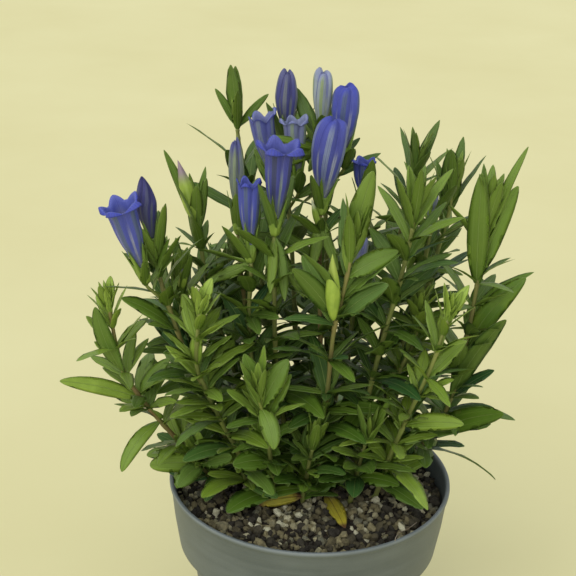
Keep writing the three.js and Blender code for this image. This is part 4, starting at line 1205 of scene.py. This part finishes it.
# For each stand, the outline above the belly: of a petal's middle, then of a pleat. Each point is a
# share of the radius, how far it has spread from there to the mouth, and a share of the height above
# the cup. Domed, tapered and rolled ones are shut.
OUTLINES = {
    "open": ([(1.03, 0, 0.68), (1.04, 0.12, 0.82), (1, 0.5, 0.925), (1, 0.98, 0.955), (1, 1.16, 0.9)],
             [(0.98, 0, 0.64), (1.0, 0, 0.72), (1.0, 0.08, 0.78), (1, 0.2, 0.825), (1, 0.32, 0.845)]),
    "half": ([(1.02, 0, 0.66), (1.04, 0.1, 0.8), (1, 0.5, 0.92), (1, 1.05, 0.965), (1, 1.3, 0.93)],
             [(0.96, 0, 0.62), (0.97, 0, 0.7), (0.98, 0, 0.765), (0.98, 0, 0.81), (0.97, 0, 0.84)]),
    "domed": ([(1.0, 0, 0.62), (0.99, 0, 0.77), (0.9, 0, 0.89), (0.66, 0, 0.97), (0.34, 0, 1.0)],
              [(0.97, 0, 0.6), (0.93, 0, 0.72), (0.8, 0, 0.83), (0.58, 0, 0.91), (0.34, 0, 0.945)]),
    "tapered": ([(0.97, 0, 0.62), (0.88, 0, 0.75), (0.72, 0, 0.87), (0.5, 0, 0.96), (0.27, 0, 1.01)],
                [(0.94, 0, 0.6), (0.84, 0, 0.71), (0.66, 0, 0.82), (0.46, 0, 0.895), (0.28, 0, 0.93)]),
    "rolled": ([(0.93, 0, 0.6), (0.76, 0, 0.73), (0.52, 0, 0.85), (0.26, 0, 0.945), (0.05, 0, 1.0)],
               [(0.93, 0, 0.6), (0.76, 0, 0.73), (0.52, 0, 0.85), (0.26, 0, 0.945), (0.05, 0, 1.0)]),
}
# stand: pointedness of the lobes, looseness, depth of the pleats, how far the top winds
HABITS = {"open": (1.5, 1.1, 0.17, 0.06), "half": (1.7, 1.2, 0.2, 0.12), "domed": (1.5, 1.0, 0.13, 0.4),
          "tapered": (1.2, 0.9, 0.14, 0.35), "rolled": (1.5, 0.2, 0.08, 1.5)}
# How each flower stands, and its finish.
STANDS = {
    "left_open": ("open", "bright"), "left_dark": ("rolled", "night"), "striped": ("tapered", "grey_green"),
    "small_blue": ("half", "bright"), "front_open": ("open", "blue"), "back_dark": ("tapered", "dusk"),
    "back_open": ("half", "lilac"), "back_pale": ("half", "pale_lilac"), "pale_striped": ("domed", "cream"),
    "back_blue": ("domed", "bright"), "tall_blue": ("domed", "blue_veined"),
    "right_small": ("half", "bright"), "lavender": ("domed", "pale_lilac"),
    "right_bud": ("rolled", "pale_lilac"),
}
# name: petals, bands, pleats (colour of the thin lines and painted shade in the folds), foot, lobes, inside
PETAL_COLOURS = {
    "blue": ((0.065, 0.075, 0.37), (0.055, 0.065, 0.12), (0.12, 0.13, 0.44), (0.32, 0.4, 0.26),
             (0.045, 0.06, 0.42), (0.1, 0.12, 0.45)),
    "bright": ((0.075, 0.095, 0.46), (0.11, 0.15, 0.24), (0.1, 0.12, 0.5), (0.42, 0.44, 0.55),
               (0.05, 0.07, 0.48), (0.11, 0.14, 0.52)),
    "blue_veined": ((0.075, 0.09, 0.42), (0.24, 0.29, 0.45), (0.05, 0.06, 0.36), (0.52, 0.56, 0.6),
                    (0.06, 0.08, 0.44), (0.12, 0.14, 0.45)),
    "night": ((0.045, 0.045, 0.21), (0.09, 0.1, 0.19), (0.014, 0.012, 0.1), (0.13, 0.16, 0.16),
              (0.045, 0.042, 0.21), (0.04, 0.04, 0.16)),
    "dusk": ((0.07, 0.075, 0.27), (0.2, 0.22, 0.24), (0.025, 0.02, 0.14), (0.24, 0.28, 0.2),
             (0.13, 0.14, 0.31), (0.06, 0.06, 0.2)),
    "grey_green": ((0.2, 0.24, 0.22), (0.3, 0.37, 0.22), (0.06, 0.06, 0.25), (0.33, 0.42, 0.2),
                   (0.1, 0.11, 0.36), (0.2, 0.22, 0.36)),
    "lilac": ((0.13, 0.15, 0.46), (0.24, 0.29, 0.36), (0.09, 0.1, 0.4), (0.4, 0.45, 0.36),
              (0.08, 0.095, 0.44), (0.22, 0.25, 0.5)),
    "pale_lilac": ((0.27, 0.3, 0.55), (0.32, 0.41, 0.24), (0.16, 0.17, 0.46), (0.42, 0.48, 0.35),
                   (0.22, 0.25, 0.55), (0.3, 0.34, 0.55)),
    "cream": ((0.4, 0.46, 0.5), (0.32, 0.42, 0.14), (0.1, 0.11, 0.4), (0.42, 0.48, 0.3),
              (0.3, 0.34, 0.56), (0.4, 0.43, 0.5)),
}


def outline_points(stand, radius, mouth, low, cup, length):
    """The [radius, height] points of a petal's middle and of a pleat, from the foot to the edge."""
    foot = [(1.5, low + 0.4), (TUBE_RADIUS * 0.95, between(low, cup, 0.55)), (TUBE_RADIUS * 1.05, cup)]
    belly = [(radius * width, between(cup, length, share)) for share, width in zip(*BELLY)][1:]
    tops = [[(radius * width + spread * (mouth - radius), between(cup, length, share))
             for width, spread, share in outline] for outline in OUTLINES[stand]]
    return np.array(foot + belly + tops[0]), np.array(foot + belly + tops[1])


def corolla_skin(flower):
    """Each column's outline lies between the petal's and the pleat's, by how far it is from the
    petal's middle. Pleats fold inwards, each petal differs a little, and shut flowers wind."""
    _, _, _, radius, mouth, _ = FLOWERS[flower]
    stand = STANDS[flower][0]
    pointed, loose, fold, wind = HABITS[stand]
    length = flower_axis(flower)[1]
    size = min(1, length / FULL_FLOWER)
    low, cup = CALYX_FLOOR * size + 0.4, CUP_HEIGHT * size
    angle, off = sector()
    petal, pleat = outline_points(stand, radius, mouth, low, cup, length)
    tooth = 0.2 * np.exp(-((off - 1) / 0.09) ** 2)
    share_of_pleat = np.clip(off ** pointed - tooth, 0, 1)[:, None]
    controls = petal[:, None] + share_of_pleat * (pleat - petal)[:, None]
    up = np.linspace(0, 1, OUTER_ROWS) ** 0.88
    outline = through(controls, up)
    up = up[:, None]
    each = unlike(flower, 4)
    top = np.clip((up - 0.6) / 0.4, 0, 1) ** 2 * (1 - off ** 2)
    fuller = 1 + 0.06 * each[3] * np.sin(np.pi * up) * (1 - off)
    outline[..., 0] *= (1 + 0.12 * loose * top * each[0]) * fuller
    outline[..., 1] += (length - cup) * top * loose * (0.024 * each[1] - 0.015)
    deep = fold * np.sin(np.pi * np.clip(up * 0.95, 0, 1)) ** 0.6
    outline[..., 0] *= 1 - deep * (1 - np.cos(np.pi * off / 2)) ** 0.9
    hollow = stand in ("open", "half")
    if not hollow:
        lap = (off * np.sign(np.arange(len(angle)) % LOBE_COLUMNS - LOBE_COLUMNS / 2) + 1) / 2
        outline[..., 0] *= 1 - (0.26 if stand == "rolled" else 0.16) * lap ** 4 * np.clip(up * 2 - 0.4, 0, 1)
    turn = angle + wind * up ** 2 + 0.06 * each[2] * top
    pick = np.array([OUTER_ROWS - 1])
    if hollow:
        pick = np.linspace(OUTER_ROWS - 1, THROAT_ROW, INNER_ROWS).round().astype(int)
    inner = outline[pick]
    depth = np.arange(len(pick))[:, None]
    if hollow:
        inner[..., 0] = np.maximum(0.25, inner[..., 0] - PETAL_WALL * np.minimum(1, depth + 0.35))
        end = float(inner[-1, :, 1].mean()) - 0.4
    else:
        inner[..., 0] *= 0.5
        inner[..., 1] -= 0.5 * size
        end = float(inner[-1, :, 1].mean())
    radii, heights = (np.concatenate([outline[..., k], inner[..., k]]) for k in (0, 1))
    turns = np.concatenate([turn, turn[pick]])
    points = closed(around(radii, turns, heights), [0, 0, low], [0, 0, end])
    rise = np.concatenate([up, up[pick]]) + 0 * radii
    inside = np.concatenate([0 * up, np.minimum(1, depth) * hollow]) + 0 * radii
    marks = {"rise": closed(rise, 0, up[pick[-1], 0]), "off": closed(off + 0 * radii, 0, 0),
             "inside": closed(inside, 0, float(hollow))}
    return set_along(points, *FLOWERS[flower][1:3]), ring_faces(len(radii), len(angle)), marks


def make_petal_bands():
    """A shared group for petals. Band: the wide band along a petal's middle, fraying upwards. Line: the
    thin lines beside it. Pleat: the folded skin between petals. Foot: the pale base. Vein: fine veins."""
    group = bpy.data.node_groups.new("petal_bands", "ShaderNodeTree")
    off, rise = mark(group, "off"), mark(group, "rise")
    broad, fine = noise(position(group), 160, 3), noise(position(group), 700, 2)
    wavy = broad * 0.16 + (off - 0.08)
    width = rise * -0.1 + 0.36
    band = fade(wavy - width, 0.04, -0.06) * fade(rise, 0.92, 0.72)
    line = fade(abs(wavy - (width + 0.07)), 0.07, 0.01) * fade(rise, 0.95, 0.75)
    strand = (wavy * 40).reckon("SINE")
    return gives(group, Band=band, Line=line, Pleat=fade(wavy, 0.72, 0.9),
                Foot=fade(broad * 0.12 + rise, 0.46, 0.2), Vein=fade(fine * 0.8 + strand, 0.4, 1.3))


PETAL_BANDS = make_petal_bands()


def petal_finish(name):
    """Soft petal skin: body colour with bands and thin lines beside them, pleats that are pale low down and
    carry painted fold shade higher up, a pale foot, lobes of full colour and fine darker veins."""
    petal, band_colour, line_and_fold_shade, foot_colour, lobe, inner = PETAL_COLOURS[name]
    material, tree, broad, fine = new_finish("petal_" + name, 0.55, 110, 1100)
    band, line, pleat, foot, vein = from_group(tree, PETAL_BANDS)
    rise, inside = mark(tree, "rise"), mark(tree, "inside")
    body = shade(fade(rise, 0.7, 0.9), petal, lobe)
    body = shade(line * 0.5, body, line_and_fold_shade)
    # Painted shade in the folds: the pleats take the pleat colour, darker than the petal in most finishes.
    body = shade(pleat * 0.75, body, line_and_fold_shade)
    body = shade(band * 0.88, body, band_colour)
    body = shade(pleat * fade(rise, 0.66, 0.4) * 0.75, body, foot_colour)
    body = shade(foot * 0.85, body, foot_colour)
    body = shade(inside, body, shade(fade(rise, 0.75, 0.45), inner, foot_colour))
    darker = tuple(0.55 * value for value in petal)
    body = shade(vein * 0.3 + broad * 0.25, body, darker)
    return cover(material, body, vein * 0.8 + fine, 0.15, Roughness=fine * 0.15 + 0.45)


PETAL_FINISHES = {name: petal_finish(name) for name in PETAL_COLOURS}
for flower, (_, tint) in STANDS.items():
    add_piece("corolla_" + flower, corolla_skin(flower), PETAL_FINISHES[tint],
              ["corolla_" + flower])

# Pistils
# In the throat of each open flower stands a pale style with a two-lobed stigma, in a sleeve of five
# joined anthers.
PISTIL_SIDES = 14
PISTIL_CREAM = (0.5, 0.52, 0.28)
PISTIL_YELLOW = (0.62, 0.52, 0.16)


def pistil_skin(flower):
    """A style turned from its profile, its top pulled apart to two lobes, and a bead of anthers."""
    length = flower_axis(flower)[1]
    style = [(0.55, length * 0.34), (0.6, length * 0.5), (0.55, length * 0.64), (0.95, length * 0.665),
             (1.1, length * 0.685), (0.9, length * 0.7), (0.3, length * 0.71)]
    sleeve = [(0.7, length * 0.5), (1.5, length * 0.51), (1.7, length * 0.545), (1.55, length * 0.585),
              (0.75, length * 0.6)]
    skins = []
    for profile, tip in ((style, 1), (sleeve, 0)):
        points, faces, _ = turned_skin(profile, PISTIL_SIDES)
        lobes = 1 + 1.1 * tip * np.clip((points[:, 2] / length - 0.65) / 0.03, 0, 1)
        points[:, 0] *= lobes
        points[:, 2] += tip * 0.35 * np.abs(points[:, 0]) * (lobes > 1.5)
        skins.append((set_along(points, *FLOWERS[flower][1:3]), faces, {}))
    return gather(skins)


def pistil_finish():
    """Cream with yellow grains of pollen."""
    material, _, broad, fine = new_finish("pistil_cream", 0.6, 400, 2200)
    return cover(material, shade(fine * 0.5 + 0.2, PISTIL_CREAM, PISTIL_YELLOW), fine + broad, 0.15)


PISTIL_FINISH = pistil_finish()
for flower, (stand, _) in STANDS.items():
    if stand in ("open", "half"):
        add_piece("pistil_" + flower, pistil_skin(flower), PISTIL_FINISH)

# Grit
# A top dressing of crushed stone, mostly 3 to 8 mm, brown, tan, beige and grey with a few white ones,
# loose over dark compost that shows between the stones. The bed below replaces the CAD's layer.
GRIT_BOTTOM = 125
BED_DROP = 1.6
STONE_SPACING = 5.1
STONE_RADII = (1.8, 4.3)
PALE_HEAP = (-19, -42)
PALE_HEAP_SIZE = 13
GRIT_REACH = 88.6
GRIT_SPREAD = 90.2
BED_RADIUS = 89.6
STEM_ROOM = 2.6
FALLEN_ROOM = 5
MISSING_STONES = 0.1
HONEYCOMB_SHAKE = 0.32
BED_SIDE_TOP = 134
BED_ROUGHNESS = 0.45
BED_RINGS = 26
BED_SIDES = 96
STONE_PITS = (0.06, 0.045, 0.03)
# share, colour
STONE_TINTS = ((0.0, (0.014, 0.012, 0.007)), (0.22, (0.035, 0.031, 0.018)), (0.4, (0.1, 0.085, 0.04)),
               (0.55, (0.19, 0.165, 0.08)), (0.68, (0.31, 0.27, 0.14)), (0.78, (0.125, 0.13, 0.09)),
               (0.88, (0.44, 0.4, 0.23)), (1.0, (0.7, 0.68, 0.48)))


def bed_skin():
    """A disc that follows the inside of the pot, its top mounded and roughened by crossed waves."""
    radius = np.linspace(1, 0.03, BED_RINGS) * BED_RADIUS
    top = np.stack([radius, mound(radius, GRIT_SPREAD) - BED_DROP], axis=-1)
    side = [(80, GRIT_BOTTOM), (88.2, GRIT_BOTTOM + 0.4), (89.4, BED_SIDE_TOP)]
    profile = np.concatenate([side, top])
    points, faces, marks = turned_skin(profile, BED_SIDES)
    x, y = points[:, 0], points[:, 1]
    rough = np.sin(x * 1.1 + 2 * np.sin(y * 0.7)) * np.sin(y * 1.3 + 2 * np.sin(x * 0.5))
    points[:, 2] += np.where(points[:, 2] > BED_SIDE_TOP + 0.2, BED_ROUGHNESS * rough, 0)
    return points, faces, marks


def stone_shape():
    """A cube with each face cut in four, its 26 points drawn out to a ball: points and 24 faces."""
    steps = (-1, 0, 1)
    grid = np.array([(x, y, z) for x in steps for y in steps for z in steps if (x, y, z) != (0, 0, 0)])
    index = {tuple(point): k for k, point in enumerate(grid)}
    faces = []
    for axis in range(3):
        for sign in (-1, 1):
            for a in (-1, 0):
                for b in (-1, 0):
                    square = [(a, b), (a + 1, b), (a + 1, b + 1), (a, b + 1)][::sign]
                    faces.append([index[tuple(np.roll([sign, u, v], axis))] for u, v in square])
    return grid / np.linalg.norm(grid, axis=1, keepdims=True), np.array(faces)


def stone_places(seed):
    """A shaken honeycomb inside the pot with some stones missing, kept off stems and fallen leaves."""
    shake = np.random.default_rng(seed)
    steps = int(GRIT_REACH / STONE_SPACING) + 2
    i, j = np.meshgrid(np.arange(-steps, steps + 1), np.arange(-steps, steps + 1))
    places = np.stack([(i + 0.5 * (j % 2)).ravel(), (j * math.sqrt(3) / 2).ravel()], axis=-1)
    places = (places + shake.uniform(-HONEYCOMB_SHAKE, HONEYCOMB_SHAKE, places.shape)) * STONE_SPACING
    feet = np.array([data[0] for data in SHOOTS.values()])
    apart = np.linalg.norm(places[:, None] - feet, axis=-1).min(axis=1)
    leaf_foot, leaf_way = np.array(WITHERED[0][:2], float), np.subtract(WITHERED[1][:2], WITHERED[0][:2])
    along = np.clip((places - leaf_foot) @ leaf_way / (leaf_way @ leaf_way), 0, 1)
    beside = np.linalg.norm(places - leaf_foot - along[:, None] * leaf_way, axis=1)
    kept = (np.hypot(*places.T) < GRIT_REACH) & (apart > STEM_ROOM) & (beside > FALLEN_ROOM)
    kept &= shake.random(len(places)) > MISSING_STONES
    return places[kept], shake


def stones(sink, seed):
    """Each stone is the ball made unequal along its axes, dented at every point and turned at random."""
    ball, ball_faces = stone_shape()
    places, shake = stone_places(seed)
    count = len(places)
    radius = shake.uniform(*STONE_RADII, count) * shake.uniform(0.75, 1, count)
    radius = np.minimum(radius, np.maximum(0.8, 90 - np.hypot(*places.T)))
    axes = shake.uniform(0.5, 1.25, (count, 1, 3)) * radius[:, None, None]
    dents = 1 + shake.uniform(-0.3, 0.2, (count, len(ball), 1))
    spin = np.linalg.qr(shake.normal(size=(count, 3, 3)))[0]
    spin *= np.sign(np.linalg.det(spin))[:, None, None]
    points = np.einsum("nij,nkj->nki", spin, ball * axes * dents)
    height = mound(np.hypot(*places.T), GRIT_SPREAD) - sink + 0.15 * radius + shake.uniform(-0.5, 0.5, count)
    points += np.column_stack([places, height])[:, None]
    faces = (ball_faces + (np.arange(count) * len(ball))[:, None, None]).reshape(-1, 4)
    heap = np.exp(-((places - PALE_HEAP) ** 2).sum(axis=1) / PALE_HEAP_SIZE ** 2)
    tint = np.minimum(1, shake.random(count) ** 1.4 + 0.35 * heap)
    return points.reshape(-1, 3), faces, {"tint": np.repeat(tint, len(ball))}


def stone_finish():
    """Crushed stone: the tint of each one, veined and specked, dull and pitted."""
    material, tree, broad, fine = new_finish("crushed_stone", 0.85, 300, 1600)
    ramp = new_node(tree, "ShaderNodeValToRGB", {0: broad * 0.12 + (mark(tree, "tint") - 0.06)})
    tints = ramp.color_ramp.elements
    while len(tints) < len(STONE_TINTS):
        tints.new(1)
    for element, (share, colour) in zip(tints, STONE_TINTS):
        element.position = share
        element.color = (*colour, 1)
    stone = shade(fine * 0.3, Wire(tree, ramp.outputs[0]), STONE_PITS)
    return cover(material, stone, fine, 0.35, Roughness=fine * 0.25 + 0.65)


STONE_FINISH = stone_finish()
add_piece("grit_bed", bed_skin(), COMPOST, ["grit_layer"])
for name, sink, seed in (("grit_upper", 0.2, 11), ("grit_lower", 2.2, 12)):
    add_piece(name, stones(sink, seed), STONE_FINISH, ["grit_layer"], smooth=False)

# Withered leaves and a dead root
# Two leaves have turned yellow with brown ends: one lies on the grit at the front, the other still
# hangs low on its shoot. A thin dry rootlet lies over the stones and the rim.
FADED_YELLOW = (0.5, 0.4, 0.03)
FADED_GREEN = (0.24, 0.29, 0.03)
FADED_BROWN = (0.13, 0.06, 0.02)
ROOT_STRAW = (0.42, 0.38, 0.3)
ROOT_RADIUS = 0.28
ROOT_ROWS = 40
RESTS_HIGHER = (0, 0, 0.9)
ROOT_WAY = [[71, -41, 141.4], [69, -46, 143.2], [65, -53, 144.4], [61, -58, 145.4], [58.9, -62, 147.2],
            [57, -68, 149.4], [55.6, -73.4, 150.6], [55, -76.6, 150.4]]


def faded_finish():
    """Yellow with green left along the ribs, going brown at the foot and the tip in blotches."""
    material, tree, broad, fine = new_finish("faded_leaf", 0.55, 90, 700)
    rib, _, margin, height = from_group(tree, BLADE_VEINS)
    yellow = shade(broad * 0.6, FADED_YELLOW, FADED_GREEN)
    ribbed = shade(rib * 0.5, yellow, FADED_BROWN)
    ends = abs(mark(tree, "along") - 0.52)
    browned = fade(broad * 0.12 + ends, 0.33, 0.5).reckon("MAXIMUM", margin * 0.6)
    return cover(material, shade(browned, ribbed, FADED_BROWN), fine + height, 0.25)


FADED = faded_finish()
fallen_foot, fallen_tip = (np.array(end) + RESTS_HIGHER for end in WITHERED[:2])
fallen = placed_leaf(fallen_foot, fallen_tip, *WITHERED[2:])
for name, leaf, nodes in (("withered_leaf_skin", dressed(fallen, 0, 0.25), ["withered_leaf"]),
                          ("yellow_leaf_low", yellow_leaf, ["shoot_" + YELLOWED[0]])):
    add_piece(name, blades([leaf], BLADE_ROWS), FADED, nodes)

root_path = through(ROOT_WAY, np.linspace(0, 1, ROOT_ROWS))
root_skin = round_bar(root_path, np.full(ROOT_ROWS, ROOT_RADIUS), 6)
root_finish, _, root_broad, root_fine = new_finish("dry_root", 0.8, 300, 1500)
cover(root_finish, shade(root_broad, ROOT_STRAW, CROWN_BARK), root_fine, 0.1)
add_piece("dry_rootlet", root_skin, root_finish)

# Camera
# It looks a little down on the pot from the front, as the photograph does. Its lens is worked out for a
# frame of 576 by 576.
CAMERA_PLACE = (0, -772, 612.5)
CAMERA_PITCH = math.radians(22.9)
CAMERA_YAW = math.radians(-1.4)
CAMERA_ROLL = math.radians(1.85)
FOCAL_PIXELS = 1310
FRAME_PIXELS = 576
SENSOR = 36

ahead = Vector((math.sin(CAMERA_YAW) * math.cos(CAMERA_PITCH), math.cos(CAMERA_YAW) * math.cos(CAMERA_PITCH),
                -math.sin(CAMERA_PITCH)))
level = Vector((math.cos(CAMERA_YAW), -math.sin(CAMERA_YAW), 0))
over = level.cross(ahead)
right = level * math.cos(CAMERA_ROLL) + over * math.sin(CAMERA_ROLL)
top = over * math.cos(CAMERA_ROLL) - level * math.sin(CAMERA_ROLL)
lens = bpy.data.cameras.new("camera")
lens.sensor_width = SENSOR
lens.lens = SENSOR * FOCAL_PIXELS / FRAME_PIXELS
lens.clip_end = 100
camera = bpy.data.objects.new("camera", lens)
pose = Matrix((right, top, -ahead)).transposed().to_4x4()
pose.translation = Vector(CAMERA_PLACE) * MM
camera.matrix_world = pose
bpy.context.scene.collection.objects.link(camera)
bpy.context.scene.camera = camera

# Studio
# A wide, plain, pale cream floor under even soft light: a pale surround, and a broad, soft sun from
# above the front left.
FLOOR_CREAM = (0.76, 0.72, 0.41)
FLOOR_SHADED = (0.72, 0.675, 0.37)
SURROUND = (0.98, 1.0, 1.0)
SURROUND_STRENGTH = 0.76
SUN_WAY = (0.4, 0.8, -0.75)
SUN_STRENGTH = 1.35
SUN_SPREAD = 70
FLOOR_SIZE = 30
FLOOR_GAP = 0.0004


def lay_floor():
    """One flat square, a little under the pot, whose two creams blend in broad soft patches."""
    corners = np.array([(-1, -1), (1, -1), (1, 1), (-1, 1)]) * FLOOR_SIZE / 2
    mesh = bpy.data.meshes.new("floor")
    mesh.from_pydata([(x, y, -FLOOR_GAP) for x, y in corners], [], [(0, 1, 2, 3)])
    material, tree, broad, _ = new_finish("floor_cream", 0.9, 3, 40)
    cream = {"Base Color": shade(broad, FLOOR_CREAM, FLOOR_SHADED), "Specular IOR Level": 0.05}
    fill(tree, tree.nodes["Principled BSDF"], cream)
    mesh.materials.append(material)
    floor = bpy.data.objects.new("floor", mesh)
    bpy.context.scene.collection.objects.link(floor)


def hang_sun():
    """One slightly warm sun, as wide as a cloudy sky, so that shadows stay faint."""
    lamp = bpy.data.lights.new("sun", "SUN")
    lamp.energy = SUN_STRENGTH
    lamp.angle = math.radians(SUN_SPREAD)
    lamp.color = (1, 0.985, 0.95)
    sun = bpy.data.objects.new("sun", lamp)
    sun.rotation_euler = Vector(SUN_WAY).to_track_quat("-Z", "Y").to_euler()
    bpy.context.scene.collection.objects.link(sun)


lay_floor()
hang_sun()
world = bpy.data.worlds.new("surround")
world.use_nodes = True
world.node_tree.nodes["Background"].inputs[0].default_value = (*SURROUND, 1)
world.node_tree.nodes["Background"].inputs[1].default_value = SURROUND_STRENGTH
bpy.context.scene.world = world
bpy.context.scene.view_settings.view_transform = "Standard"
